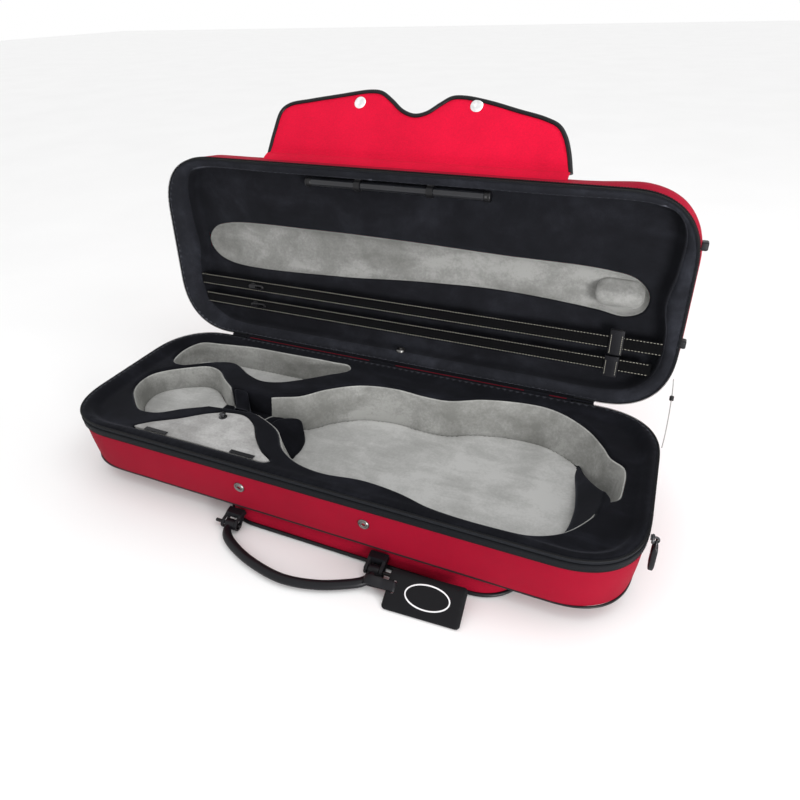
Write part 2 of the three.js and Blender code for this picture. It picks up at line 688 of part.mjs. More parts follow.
// ---- Lid fittings -----------------------------------------------------------

function buildBowTray() {
  const rim = LID_RIM_Z + LID_PANEL_DEPTH + 0.3;
  const floor = LID_RIM_Z + BOW_RECESS_DEPTH - GAP;
  const tray = cut(
    prism(insetOutline(BOW_OUTLINE, GAP), rim, floor),
    prism(insetOutline(BOW_OUTLINE, GAP + LINING), rim - 1, floor - LINING),
  );
  place(lid, 'bow_tray', tray, GREY_SUEDE);
  const plan = roundedPlan(24, 15, 14, 2.4, 5).map((p) => p.add(new THREE.Vector2(312, -4)));
  const pillow = prism(plan, rim - 4, floor - LINING - GAP);
  place(lid, 'bow_pillow', pillow, PALE_SUEDE);
}

const STRAPS = {
  upper: { y: STRAP_UPPER_Y, left: -349, right: 374, loopX: 318, loopFrom: 36, loopTo: 71 },
  lower: { y: STRAP_LOWER_Y, left: -338, right: 362, loopX: 316, loopFrom: 74, loopTo: 104 },
};
const SPINNER_X = -252;

function buildStraps() {
  const near = LID_RIM_Z + STRAP_DEPTH;
  const far = near + STRAP_THICKNESS;
  for (const [name, strap] of Object.entries(STRAPS)) {
    const y0 = strap.y - STRAP_WIDTH / 2;
    const y1 = strap.y + STRAP_WIDTH / 2;
    place(lid, `strap_${name}`, box(strap.left, strap.right, y0, y1, near, far), BLACK_LEATHER);
    const sleeve = cut(
      box(strap.loopX - 9, strap.loopX + 9, strap.loopFrom, strap.loopTo, near - 2, far + 2),
      box(strap.loopX - 10, strap.loopX + 10, y0 - 0.6, y1 + 0.6, near - 0.6, far + 0.6),
    );
    place(lid, `strap_loop_${name}`, sleeve, BLACK_LEATHER);

    const paddle = prism(roundedPlan(15, 4.6, 4.6, 2, 3), 0, 3.4).translate(7, 0, -5.2);
    const stem = rod(5, 5, 'z', 14).translate(0, 0, -2.9);
    const spinner = place(lid, `bow_spinner_${name}`, join(paddle, stem), BLACK_PLASTIC);
    spinner.position.set(SPINNER_X, strap.y, near);
  }
}

const TUBE_Y = -120.5;
const TUBE_RADIUS = 6.4;
const TUBE_HALF_LENGTH = 128;

function buildStringTube() {
  const centreZ = LID_RIM_Z + 10;
  const wall = 1.2;
  const profile = [
    [TUBE_RADIUS - wall, -TUBE_HALF_LENGTH], [TUBE_RADIUS, -TUBE_HALF_LENGTH],
    [TUBE_RADIUS, TUBE_HALF_LENGTH], [TUBE_RADIUS - wall, TUBE_HALF_LENGTH],
    [TUBE_RADIUS - wall, -TUBE_HALF_LENGTH],
  ];
  const tube = new THREE.LatheGeometry(profile.map(([r, h]) => new THREE.Vector2(r, h)), 16);
  tube.rotateZ(Math.PI / 2);
  place(lid, 'string_tube', tube, CLEAR_PLASTIC).position.set(0, TUBE_Y, centreZ);
  for (const [side, sign] of [['left', -1], ['right', 1]]) {
    const cap = place(lid, `tube_cap_${side}`, rod(TUBE_RADIUS + 0.8, 9, 'x', 16), BLACK_PLASTIC);
    cap.position.set(sign * (TUBE_HALF_LENGTH + GAP + 4.5), TUBE_Y, centreZ);

    const hold = cut(
      join(
        rod(TUBE_RADIUS + 2, 9, 'x', 24).translate(0, TUBE_Y, centreZ),
        box(-4.5, 4.5, -129.2, TUBE_Y, centreZ - 3, centreZ + 3),
      ),
      rod(TUBE_RADIUS + 0.4, 12, 'x', 24).translate(0, TUBE_Y, centreZ),
      box(-6, 6, TUBE_Y + 2.5, TUBE_Y + 20, centreZ - 20, centreZ + 20),
    );
    place(lid, `tube_clip_${side}`, hold.translate(sign * 54, 0, 0), BLACK_PLASTIC);
  }
}

function buildLidTrim() {
  const snap = place(lid, 'lid_snap', snapGeometry(6, 2.4), STEEL);
  snap.rotation.x = Math.PI / 2;
  snap.position.set(7, 127 - GAP - 0.2, LID_RIM_Z + 12);

  for (const [name, y] of [['front', -84], ['back', 44]]) {
    const wall = LENGTH / 2 + 0.4;
    const keeper = cut(
      box(wall, wall + 6.4, y - 5.5, y + 5.5, LID_RIM_Z + 7, LID_RIM_Z + 21),
      box(wall + 2, wall + 4.6, y - 6.5, y + 6.5, LID_RIM_Z + 10, LID_RIM_Z + 18),
    );
    place(lid, `lid_keeper_${name}`, keeper, BLACK_LEATHER);
  }
}

// ---- Flap on the lid's front edge -------------------------------------------

function buildFlap() {
  const flap = new THREE.Group();
  flap.position.set(0, FLAP_HINGE_Y, FLAP_HINGE_Z);
  flap.rotation.x = Math.PI - FLAP_LEAN;
  lid.add(flap);

  // In this group the flap runs along +Y from the hinge, its outer face at -Z.
  const outerFace = -0.4 - FLAP_THICKNESS;
  const trim = 4;
  const root = 2.5;
  const middle = (margin) => join(
    prism(insetOutline(FLAP_OUTLINE, margin), outerFace - 1, 1),
    box(margin - 228.6, 228.6 - margin, root - 1, root + 12, outerFace - 1, 1),
  );
  const sheet = prism(FLAP_OUTLINE, outerFace, -0.4);
  place(flap, 'flap', common(sheet, middle(trim + GAP)), RED_FABRIC);
  place(flap, 'flap_piping', cut(sheet, middle(trim)), BLACK_WEBBING);

  ['left', 'right'].forEach((side, index) => {
    const snap = place(flap, `flap_snap_${side}`, snapGeometry(FLAP_SNAP_RADIUS, 1.7), WHITE_METAL);
    snap.position.set(SNAP_X[index], FLAP_SNAP_RISE, -0.4 + GAP);
  });
}

// ---- Stay cord between lid and base -----------------------------------------

function buildStay() {
  const route = [
    [395.4, 152.6, 160.6], [396.6, 143, 151], [397.2, 128, 139.6], [397.2, 108, 124.5],
    [396.6, 90, 110.6], [395.6, 79, 102.6],
  ].map((point) => new THREE.Vector3(...point));
  const cord = cordAlong(route, 0.75, 12, 6);
  const toggle = rod(2.9, 7, 'y', 10).rotateX(THREE.MathUtils.degToRad(38)).translate(397.1, 133, 143.3);
  place(violinCase, 'stay_cord', join(cord, toggle), BLACK_PLASTIC);
}

buildBaseCase();
buildPocket();
buildInsert();
buildPads();
buildAccessoryLid();
buildBaseSnaps();
buildHandle();
buildTag();
buildSlider();
buildLidCase();
buildBowTray();
buildStraps();
buildStringTube();
buildLidTrim();
buildFlap();
buildStay();

export default violinCase;
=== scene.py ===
"""The violin case's looks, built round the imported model. Lengths inside the script are in
millimetres until a mesh is made; lid pieces are drawn shut and then turned open."""

import math

import bmesh
import bpy
import numpy as np
from mathutils import Matrix, Vector, geometry, noise


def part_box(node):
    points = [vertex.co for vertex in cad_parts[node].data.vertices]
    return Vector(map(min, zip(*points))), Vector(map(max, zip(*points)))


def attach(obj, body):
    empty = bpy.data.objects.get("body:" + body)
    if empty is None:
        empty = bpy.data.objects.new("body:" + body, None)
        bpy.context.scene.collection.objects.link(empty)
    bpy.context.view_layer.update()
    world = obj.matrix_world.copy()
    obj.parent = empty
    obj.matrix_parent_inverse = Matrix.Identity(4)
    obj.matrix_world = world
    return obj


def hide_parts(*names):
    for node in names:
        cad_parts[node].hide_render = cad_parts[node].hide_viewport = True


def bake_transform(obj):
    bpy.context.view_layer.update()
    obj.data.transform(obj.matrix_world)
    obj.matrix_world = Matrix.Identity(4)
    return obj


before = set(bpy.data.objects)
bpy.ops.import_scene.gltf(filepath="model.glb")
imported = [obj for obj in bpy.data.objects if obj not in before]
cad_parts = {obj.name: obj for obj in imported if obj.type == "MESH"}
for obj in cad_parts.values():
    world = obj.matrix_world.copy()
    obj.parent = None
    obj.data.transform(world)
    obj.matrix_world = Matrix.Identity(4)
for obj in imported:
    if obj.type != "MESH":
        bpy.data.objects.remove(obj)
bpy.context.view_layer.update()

MM = 0.001
LENGTH, WIDTH = 790.0, 290.0
RIM_Z, POCKET_Z = 104.0, 24.0
LID_RIM_Z, LID_TOP_Z = 104.9, 154.9
BASE_TAPER, LID_TAPER = 6.8, 3.0
HINGE = (146.5, 104.6)
LID_ANGLE = math.radians(-93)
VIOLIN_FLOOR, TRAY_FLOOR, CHANNEL_FLOOR = 42.0, 57.0, 64.0
NECK_FROM, NECK_TO = -206.0, -139.0
LIP = 4.0
SNAPS_X = {"left": -91.0, "right": 86.0}
PIN_Y, PIN_Z = -156, 8.2
AXES = ((1, 0, 0), (0, 1, 0), (0, 0, 1))
ALONG_X = ((0, 1, 0), (0, 0, 1), (1, 0, 0))


def in_scene(name, data):
    """A new object in the scene."""
    made = bpy.data.objects.new(name, data)
    bpy.context.scene.collection.objects.link(made)
    return made


# ---- Camera ---------------------------------------------------------------------------------


def make_camera():
    yaw, pitch, roll = math.radians(24.157), math.radians(30.935), math.radians(1.98)
    forward = Vector((-math.sin(yaw) * math.cos(pitch), math.cos(yaw) * math.cos(pitch), -math.sin(pitch)))
    side = forward.cross(Vector((0, 0, 1))).normalized()
    down = forward.cross(side)
    right = math.cos(roll) * side + math.sin(roll) * down
    up = math.sin(roll) * side - math.cos(roll) * down
    data = bpy.data.cameras.new("camera")
    data.lens, data.sensor_width, data.shift_y = 27.976, 36.0, -0.0395
    data.clip_start, data.clip_end = 0.01, 50
    camera = in_scene("camera", data)
    turn = Matrix((right, up, -forward)).transposed().to_4x4()
    camera.matrix_world = Matrix.Translation((0.3499, -0.6097, 0.5967)) @ turn
    bpy.context.scene.camera = camera


# ---- Lines and outlines ---------------------------------------------------------------------


def unit(vectors):
    return vectors / np.linalg.norm(vectors, axis=1)[:, None]


def running(line):
    """The distance along a line at each of its points."""
    return np.concatenate([[0], np.cumsum(np.linalg.norm(np.diff(line, axis=0), axis=1))])


def along(line, at):
    """The points of a line at these distances along it."""
    run = running(line)
    return np.stack([np.interp(at, run, line[:, k]) for k in range(line.shape[1])], 1)


def resample(loop, count):
    """A closed loop again, at equal steps along its length."""
    closed = np.vstack([loop, loop[:1]])
    return along(closed, np.linspace(0, running(closed)[-1], count, endpoint=False))


def straight(a, b, count):
    """Points between two ends, without the ends."""
    t = np.linspace(0, 1, count + 2)[1:-1, None]
    return np.array(a) * (1 - t) + np.array(b) * t


def smooth_path(knots, per=24, closed=False):
    """A centripetal Catmull-Rom line through the knots."""
    p = np.array(knots, float)
    before, after = (p[-1:], p[:2]) if closed else (2 * p[:1] - p[1:2], 2 * p[-1:] - p[-2:-1])
    p_all = np.vstack([before, p, after])
    out = []
    for four in (p_all[i:i + 4] for i in range(len(p_all) - 3)):
        steps = [max(np.linalg.norm(b - a), 1e-6) ** 0.5 for a, b in zip(four, four[1:])]
        when = np.concatenate([[0], np.cumsum(steps)])
        t = np.linspace(when[1], when[2], per, endpoint=False)[:, None]

        def between(a, b, start, end):
            span = when[end] - when[start]
            return a * (when[end] - t) / span + b * (t - when[start]) / span

        ab, bc, cd = (between(four[k], four[k + 1], k, k + 1) for k in range(3))
        out.append(between(between(ab, bc, 0, 2), between(bc, cd, 1, 3), 1, 2))
    return np.vstack(out if closed else [*out, p[-1:]])


def counter_clockwise(loop):
    x, y = loop[:, 0], loop[:, 1]
    return loop if np.sum(x * np.roll(y, -1) - np.roll(x, -1) * y) > 0 else loop[::-1]


def smooth_loop(knots, count):
    return resample(counter_clockwise(smooth_path(knots, closed=True)), count)


def rounded_plan(half_x, half_y, corner, power=2.45, steps=20):
    """A rectangle with superelliptic corners."""
    points = []
    for quarter, (sx, sy) in enumerate(((1, 1), (-1, 1), (-1, -1), (1, -1))):
        for step in range(steps + 1):
            angle = (quarter + step / steps) * math.pi / 2
            c, s = abs(math.cos(angle)) ** (2 / power), abs(math.sin(angle)) ** (2 / power)
            points.append((sx * (half_x - corner + corner * c), sy * (half_y - corner + corner * s)))
    return np.array(points)


def ellipse(half_x, half_y, count):
    a = np.linspace(0, 2 * math.pi, count, endpoint=False)
    return np.column_stack([half_x * np.cos(a), half_y * np.sin(a)])


def circle(radius, count):
    return ellipse(radius, radius, count)


def offset(loop, distance):
    """A loop moved inwards along its normals (outwards for a negative distance)."""
    tangent = np.roll(loop, -1, 0) - np.roll(loop, 1, 0)
    tangent /= np.maximum(np.linalg.norm(tangent, axis=1), 1e-9)[:, None]
    return loop + distance * np.stack([-tangent[:, 1], tangent[:, 0]], 1)


def pushed_in(loop, amount):
    """A loop moved inwards by its own amount at each point."""
    return loop + (offset(loop, 1) - loop) * amount[:, None]


def scaled(loop, centre, half, amount):
    """A loop drawn in towards its centre by about amount at its ends."""
    centre = np.array(centre, float)
    return centre + (loop - centre) * (1 - amount / np.array(half, float))


def distance_to(points, loop):
    """Each point's distance to a closed loop."""
    sides = np.roll(loop, -1, 0) - loop
    size = np.maximum((sides ** 2).sum(1), 1e-12)
    best = np.full(len(points), 1e9)
    for start in range(0, len(points), 2000):
        p = points[start:start + 2000, None, :]
        t = np.clip(((p - loop) * sides).sum(2) / size, 0, 1)
        best[start:start + 2000] = np.linalg.norm(p - (loop + t[..., None] * sides), axis=2).min(1)
    return best


def nearest(points, loops):
    """Each point's distance to the nearest of several loops."""
    return np.minimum.reduce([distance_to(points, loop) for loop in loops])


def inside(points, loop):
    """Which points lie inside a closed loop."""
    x, y = points[:, 0][:, None], points[:, 1][:, None]
    x0, y0 = loop[:, 0], loop[:, 1]
    x1, y1 = np.roll(x0, -1), np.roll(y0, -1)
    spans = (y0 > y) != (y1 > y)
    cross = x0 + (y - y0) * (x1 - x0) / np.where(y1 == y0, 1e-9, y1 - y0)
    return (spans & (x < cross)).sum(1) % 2 == 1


def between_loops(points, outer, holes, gap):
    """The points inside the outer loop and outside every hole that keep a gap from all of them."""
    keep = inside(points, outer) & (nearest(points, (outer, *holes)) > gap)
    for hole in holes:
        keep &= ~inside(points, hole)
    return points[keep]


def kept(keep):
    """The places of a closed loop's kept points, in order, starting after the dropped stretch."""
    start = int(np.nonzero(~keep & np.roll(keep, -1))[0][0]) + 1
    order = (start + np.arange(len(keep))) % len(keep)
    return order[keep[order]]


def ease(value, low, high):
    t = np.clip((value - low) / (high - low), 0, 1)
    return t * t * (3 - 2 * t)


def rolled(gap, radius):
    """How far a rounded edge falls away at a distance from it."""
    return radius - np.sqrt(np.maximum(radius ** 2 - np.clip(radius - gap, 0, radius) ** 2, 0))


def ripple(points, scale, strength, seed=0.0):
    """Soft unevenness: one number for each point."""
    return np.array([strength * noise.noise(Vector((p[0] / scale + seed, p[1] / scale, p[2] / scale)))
                     for p in points])


def at_height(loop, z):
    return np.column_stack([loop, np.broadcast_to(np.asarray(z, float), len(loop))])


def upright(plan, x, y=0.0, z=0.0):
    """A plan stood up square to the case's length."""
    return np.column_stack([np.full(len(plan), x), y + plan[:, 0], z + plan[:, 1]])


def rows(xs, profile):
    """Lines along the case's length from (y, z) pairs."""
    return [np.column_stack([xs, np.full(len(xs), y), np.full(len(xs), z)]) for y, z in profile]


def lean_base(loop, z):
    share = (RIM_Z - z) / (RIM_Z - POCKET_Z)
    return loop * (1 - share * BASE_TAPER / np.array([LENGTH / 2, WIDTH / 2]))


def lean_lid(loop, z):
    share = (z - LID_RIM_Z) / (LID_TOP_Z - LID_RIM_Z)
    return loop * (1 - share * LID_TAPER / np.array([LENGTH / 2, WIDTH / 2]))


CASE = resample(rounded_plan(LENGTH / 2, WIDTH / 2, 92), 420)
VIOLIN = smooth_loop([
    (-146, -16), (-140, 6), (-98, 28), (-72, 56), (-28, 85), (25, 95), (75, 91), (110, 93),
    (155, 113), (210, 124), (262, 121), (304, 98), (328, 70), (340, 50), (358, 36), (361, 0),
    (358, -24), (344, -38), (332, -68), (306, -103), (270, -122), (220, -127), (165, -123),
    (118, -112), (70, -108), (17, -114), (-22, -108), (-55, -90), (-84, -58), (-124, -39),
    (-142, -33)], 340)
SCROLL = smooth_loop([
    (-361, -20), (-360, 4), (-345, 24), (-315, 44), (-285, 55), (-258, 48), (-232, 28), (-206, 10),
    (-188, -8), (-186, -28), (-206, -44), (-236, -62), (-268, -82), (-302, -82), (-332, -62),
    (-352, -42)], 150)
BACK = smooth_loop([
    (-363, 72), (-362, 100), (-345, 119), (-270, 127), (-180, 129), (-100, 130), (-66, 128),
    (-62, 114), (-88, 90), (-122, 62), (-148, 46), (-174, 41), (-204, 50), (-246, 71), (-285, 64),
    (-330, 44), (-354, 50)], 190)
FRONT = smooth_loop([
    (-274, -122), (-262, -108), (-226, -84), (-196, -60), (-170, -48), (-142, -46), (-120, -58),
    (-98, -84), (-76, -104), (-54, -118), (-60, -124), (-90, -124.5), (-165, -124.5),
    (-245, -124.5)], 160)
LID_CAVITY = smooth_loop([
    (-345, -122), (-325, -129), (-200, -130), (0, -130), (200, -130), (335, -129), (362, -120),
    (376, -98), (376, -50), (370, -5), (377, 40), (372, 88), (350, 116), (318, 126), (200, 127),
    (0, 127), (-200, 127), (-290, 126), (-324, 116), (-351, 90), (-357, 40), (-352, -4), (-357, -50),
    (-356, -100)], 380)
BOW = smooth_loop([
    (-345, -8), (-332, -29), (-300, -40), (-150, -44), (0, -43), (150, -39), (290, -36),
    (330, -28), (348, -8), (344, 14), (322, 25), (285, 20), (154, 12), (20, 17), (-100, 26),
    (-300, 28), (-334, 14)], 260)
POCKET = resample(rounded_plan(205, 130, 60, 2.2), 260) + np.array([67, -10])

violin_part = VIOLIN[kept(VIOLIN[:, 0] > NECK_TO)]
scroll_part = SCROLL[kept(SCROLL[:, 0] < NECK_FROM)]
WELL = np.vstack([violin_part, straight(violin_part[-1], scroll_part[0], 22),
                  scroll_part, straight(scroll_part[-1], violin_part[0], 22)])
CAVITIES = (WELL, BACK, FRONT)
PANEL_EDGE = offset(LID_CAVITY, 9.5)

# ---- Placings and meshes --------------------------------------------------------------------


def stay(points):
    return points


def open_lid(points):
    """Points of the shut lid, carried to where the open lid holds them."""
    p = np.asarray(points, float)
    y, z = p[:, 1] - HINGE[0], p[:, 2] - HINGE[1]
    c, s = math.cos(LID_ANGLE), math.sin(LID_ANGLE)
    return np.column_stack([p[:, 0], HINGE[0] + y * c - z * s, HINGE[1] + y * s + z * c])


def put(origin, axes, then=stay):
    """A placing: origin and local axes, then another placing."""
    m = unit(np.array(axes, float))
    return lambda points: then(np.asarray(points) @ m + np.array(origin, float))


class Piece:
    """Collects parts of one mesh: points in millimetres, faces, and thread coordinates."""

    def __init__(self):
        self.points, self.faces, self.uvs, self.count = [], [], [], 0

    def add(self, points, faces, uvs):
        self.points.append(np.asarray(points, float))
        self.faces += [tuple(i + self.count for i in face) for face in faces]
        self.uvs += uvs
        self.count += len(points)
        return self

    def loft(self, rings, closed=True, flip=False, first=False, last=False):
        """A surface through rings with the same number of points, capped at first or last."""
        rings = [np.asarray(r, float) for r in rings]
        n = len(rings[0])
        middle = rings[len(rings) // 2]
        u = running(np.vstack([middle, middle[:1]]))
        v = np.cumsum([0.0] + [np.median(np.linalg.norm(b - a, axis=1)) for a, b in zip(rings, rings[1:])])
        faces, uvs = [], []
        for r in range(len(rings) - 1):
            for i in range(n if closed else n - 1):
                corners = ((r, i), (r, i + 1), (r + 1, i + 1), (r + 1, i))[::-1 if flip else 1]
                faces.append([ring * n + point % n for ring, point in corners])
                uvs.append([(u[point], v[ring]) for ring, point in corners])
        for wanted, at, backwards in ((first, 0, not flip), (last, len(rings) - 1, flip)):
            if wanted:
                order = range(n)[::-1 if backwards else 1]
                faces.append([at * n + i for i in order])
                uvs.append([tuple(rings[at][i][:2]) for i in order])
        return self.add(np.vstack(rings), faces, uvs)

    def sheet(self, outer, spacing, height, holes=(), flip=False, dense=None):
        """A nearly flat surface between loops: height is z, or gives z for points of the plan."""
        low, high = outer.min(0), outer.max(0)
        xs = np.arange(low[0], high[0], spacing)
        ys = np.arange(low[1], high[1], spacing * 0.87)
        grid = np.array([(x + (k % 2) * spacing / 2, y) for k, y in enumerate(ys) for x in xs])
        grid = between_loops(grid, outer, holes, spacing * 0.55)
        if dense is not None:
            grid = np.vstack([dense, grid[distance_to(grid, dense) > spacing * 0.4]])
        edges, start = [], 0
        for loop in (outer, *holes):
            n = len(loop)
            edges += [(start + i, start + (i + 1) % n) for i in range(n)]
            start += n
        points = [Vector(p) for p in np.vstack([outer, *holes, grid])]
        found = geometry.delaunay_2d_cdt(points, edges, [], 0, 1e-7)
        plan = np.array([tuple(p) for p in found[0]])
        middles = np.array([plan[list(face)].mean(0) for face in found[2]])
        keep = inside(middles, outer)
        for hole in holes:
            keep &= ~inside(middles, hole)
        faces = [tuple(face)[::-1 if flip else 1] for face, k in zip(found[2], keep) if k]
        z = height(plan) if callable(height) else height
        return self.add(at_height(plan, z), faces, [[tuple(plan[i]) for i in face] for face in faces])

    def box(self, low, high, taper=0.0):
        """A small block, drawn in at the top by taper."""
        (x0, y0, z0), (x1, y1, z1) = low, high
        plan = np.array([(x0, y0), (x1, y0), (x1, y1), (x0, y1)], float)
        top = plan + taper * np.array([(1, 1), (-1, 1), (-1, -1), (1, -1)])
        faces = [(3, 2, 1, 0), (4, 5, 6, 7), (0, 1, 5, 4), (1, 2, 6, 5), (2, 3, 7, 6), (3, 0, 4, 7)]
        return self.add(np.vstack([at_height(plan, z0), at_height(top, z1)]), faces,
                        [[(0, 0), (1, 0), (1, 1), (0, 1)]] * 6)

    def build(self, name, material, body=None, replaces="", place=None, sharp=40, weld=True, slot=None):
        """Makes the object. Pieces of the lid are turned open unless they bring their own placing."""
        place = place or (open_lid if body == "lid" else stay)
        mesh = bpy.data.meshes.new(name)
        mesh.from_pydata((place(np.vstack(self.points)) * MM).tolist(), [], self.faces)
        threads = np.array([corner for face in self.uvs for corner in face], np.float32) * MM
        mesh.uv_layers.new(name="threads").data.foreach_set("uv", threads.ravel())
        bm = bmesh.new()
        bm.from_mesh(mesh)
        if weld:
            bmesh.ops.remove_doubles(bm, verts=bm.verts, dist=2e-6)
        for face in bm.faces:
            face.smooth = True
        for edge in bm.edges:
            if len(edge.link_faces) == 2 and edge.calc_face_angle(0) > math.radians(sharp):
                edge.smooth = False
        bm.to_mesh(mesh)
        bm.free()
        mesh.materials.append(material)
        made = in_scene(name, mesh)
        if body:
            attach(made, body)
        if replaces:
            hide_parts(*replaces.split())
        return made


def sweep_rings(path, section, closed=False, up=(0, 0, 1), grow=None, side=None):
    """Rings of a section carried square to a path: section x across (or along side), y along up."""
    path = np.asarray(path, float)
    ahead = unit(np.roll(path, -1, 0) - np.roll(path, 1, 0) if closed else np.gradient(path, axis=0))
    rings = []
    for p, t, g in zip(path, ahead, np.ones(len(path)) if grow is None else grow):
        across = np.cross(t, up) if side is None else np.array(side, float)
        across /= max(np.linalg.norm(across), 1e-9)
        rings.append(p + np.outer(section[:, 0] * g, across)
                     + np.outer(section[:, 1] * g, np.cross(across, t)))
    return rings


def tube(path, section, closed=False, **more):
    """A cord or bar along a path; its threads run along it."""
    rings = sweep_rings(path, section, closed, **more)
    rings += rings[:1] if closed else []
    n = len(section)
    run = running(np.array([r.mean(0) for r in rings]))
    around = running(np.vstack([rings[0], rings[0][:1]]))
    faces, uvs = [], []
    for r in range(len(rings) - 1):
        for i in range(n):
            corners = ((r, i), (r + 1, i), (r + 1, i + 1), (r, i + 1))
            faces.append([ring * n + point % n for ring, point in corners])
            uvs.append([(run[ring], around[point]) for ring, point in corners])
    if not closed:
        faces += [range(n), range((len(rings) - 1) * n, len(rings) * n)[::-1]]
        uvs += [[tuple(p) for p in section]] * 2
    return Piece().add(np.vstack(rings), faces, uvs)


def turned(profile, sides=40):
    """A turned shape about Z from (radius, height) pairs."""
    return Piece().loft([at_height(circle(r, sides), h) for r, h in profile],
                        first=profile[0][0] > 0.01, last=profile[-1][0] > 0.01)


def stitches(lines, pitch, length, radius, up=(0, 0, 1)):
    """Rows of short rounded stitches along lines."""
    made = Piece()
    for line in lines:
        line = np.asarray(line, float)
        for start in np.arange(pitch / 2, running(line)[-1] - length, pitch):
            path = along(line, start + length * np.array([0, 0.2, 0.8, 1]))
            rings = sweep_rings(path, circle(radius, 6), up=up, grow=[0.45, 1, 1, 0.45])
            made.loft(rings, flip=True, first=True, last=True)
    return made


def cushion(name, loop, height, bottom, radius, material, body, replaces, spacing=3.0, fill=0.8, **more):
    """A pad over a plan, with a rounded edge all round."""
    rings = [at_height(loop, np.minimum(bottom, height(loop) - radius))]
    for inset, drop in ((0.0, 0.98), (0.12, 0.55), (0.38, 0.2), (1.0, 0.0)):
        ring = offset(loop, radius * inset)
        rings.append(at_height(ring, np.maximum(height(ring) - radius * drop, rings[0][:, 2])))
    piece = Piece().loft(rings).sheet(rings[-1][:, :2], spacing, height)
    piece.build(name, material, body, replaces, sharp=75, **more)


# ---- Materials ------------------------------------------------------------------------------


class Look:
    """One procedural material on the Principled shader."""

    def __init__(self, name, roughness=0.6, metallic=0.0, **sockets):
        self.material = bpy.data.materials.new(name)
        self.material.use_nodes = True
        self.tree = self.material.node_tree
        self.shader = self.tree.nodes["Principled BSDF"]
        self.set(self.shader, {"Roughness": roughness, "Metallic": metallic, **sockets})

    def set(self, node, inputs):
        for key, value in inputs.items():
            socket = node.inputs[key]
            if isinstance(value, bpy.types.NodeSocket):
                self.tree.links.new(value, socket)
            else:
                socket.default_value = value

    def node(self, kind, inputs, **props):
        made = self.tree.nodes.new("ShaderNode" + kind)
        for key, value in props.items():
            setattr(made, key, value)
        self.set(made, inputs)
        return made

    def threads(self, pitch):
        """Angles across and along the threads, a full turn for each pitch."""
        turn = 2 * math.pi / (pitch * MM)
        uv = self.node("UVMap", {}, uv_map="threads").outputs["UV"]
        scaled_uv = self.node("Mapping", {"Vector": uv, "Scale": (turn, turn, 1)}).outputs["Vector"]
        return self.node("SeparateXYZ", {"Vector": scaled_uv}).outputs[:2]

    def noise(self, scale, detail=3.0, rough=0.55, distort=0.0, stretch=(1, 1, 1)):
        spot = self.node("TexCoord", {}).outputs["Object"]
        spot = self.node("Mapping", {"Vector": spot, "Scale": stretch}).outputs["Vector"]
        return self.node("TexNoise", {"Vector": spot, "Scale": scale, "Detail": detail,
                                      "Roughness": rough, "Distortion": distort}).outputs["Fac"]

    def math(self, how, a, b=0.0):
        return self.node("Math", {0: a, 1: b}, operation=how).outputs[0]

    def mix(self, *parts):
        """The sum of (value, weight) pairs."""
        total, *others = [self.math("MULTIPLY", value, weight) for value, weight in parts]
        for part in others:
            total = self.math("ADD", total, part)
        return total

    def ramp(self, value, stops):
        made = self.node("ValToRGB", {"Fac": value})
        ramp = made.color_ramp
        while len(ramp.elements) < len(stops):
            ramp.elements.new(0.5)
        for element, (position, colour) in zip(ramp.elements, stops):
            element.position = position
            element.color = (*colour, 1)
        return made.outputs["Color"]

    def tones(self, value, colour, *stops):
        """A ramp through darker and lighter tones of a colour, from (position, factor) pairs."""
        return self.ramp(value, [(at, tuple(min(1.0, c * factor) for c in colour)) for at, factor in stops])

    def level(self, value, low, high, to_low, to_high):
        return self.node("MapRange", {"Value": value, "From Min": low, "From Max": high,
                                      "To Min": to_low, "To Max": to_high}).outputs["Result"]

    def bump(self, height, distance, strength, under=None):
        inputs = {"Height": height, "Distance": distance, "Strength": strength}
        return self.node("Bump", {**inputs, "Normal": under} if under else inputs).outputs["Normal"]

    def finish(self, colour, normal=None, roughness=None):
        for key, value in (("Base Color", colour), ("Normal", normal), ("Roughness", roughness)):
            if value is not None:
                self.tree.links.new(value, self.shader.inputs[key])
        return self.material


def sheen(weight, roughness, tint, specular):
    """A cloth's soft edge light, as shader sockets."""
    return {"Sheen Weight": weight, "Sheen Roughness": roughness, "Sheen Tint": (*tint, 1),
            "Specular IOR Level": specular}


def woven(name, colour, pitch=0.5, tint=(1, 0.25, 0.3)):
    """A plain weave: two sets of threads that pass over each other."""
    look = Look(name, 0.7, **sheen(0.05, 0.45, tint, 0.07))
    across, length = [look.math("SINE", angle) for angle in look.threads(pitch)]
    over = look.math("GREATER_THAN", look.math("MULTIPLY", across, length), 0.0)
    under = look.math("SUBTRACT", 1.0, over)
    height = look.mix((look.math("ABSOLUTE", across), over), (look.math("ABSOLUTE", length), under))
    cloud = look.noise(9, 4, 0.6)
    fibre = look.noise(420, 2, 0.6)
    mixed = look.mix((height, 0.22), (cloud, 0.55), (fibre, 0.4))
    tone = look.tones(mixed, colour, (0.35, 0.72), (0.62, 1), (0.9, 1.22))
    normal = look.bump(height, 0.00012, 0.7, look.bump(cloud, 0.0012, 0.25))
    return look.finish(tone, normal, look.level(fibre, 0.3, 0.7, 0.63, 0.78))


def velvet(name, colour, light, weight):
    """Short dark pile with brushed marks."""
    look = Look(name, 0.95, **sheen(weight, 0.32, (0.55, 0.57, 0.68), 0.1))
    brushed = look.noise(7, 5, 0.62, 0.8, stretch=(1.0, 2.4, 1.6))
    pile = look.noise(1600, 2, 0.7)
    patches = look.noise(38, 4, 0.6)
    mixed = look.mix((brushed, 0.5), (patches, 0.25), (pile, 0.25))
    tone = look.ramp(mixed, [(0.36, tuple(0.65 * c for c in colour)), (0.5, colour), (0.66, light)])
    return look.finish(tone, look.bump(pile, 0.0004, 0.5, look.bump(brushed, 0.0025, 0.18)))


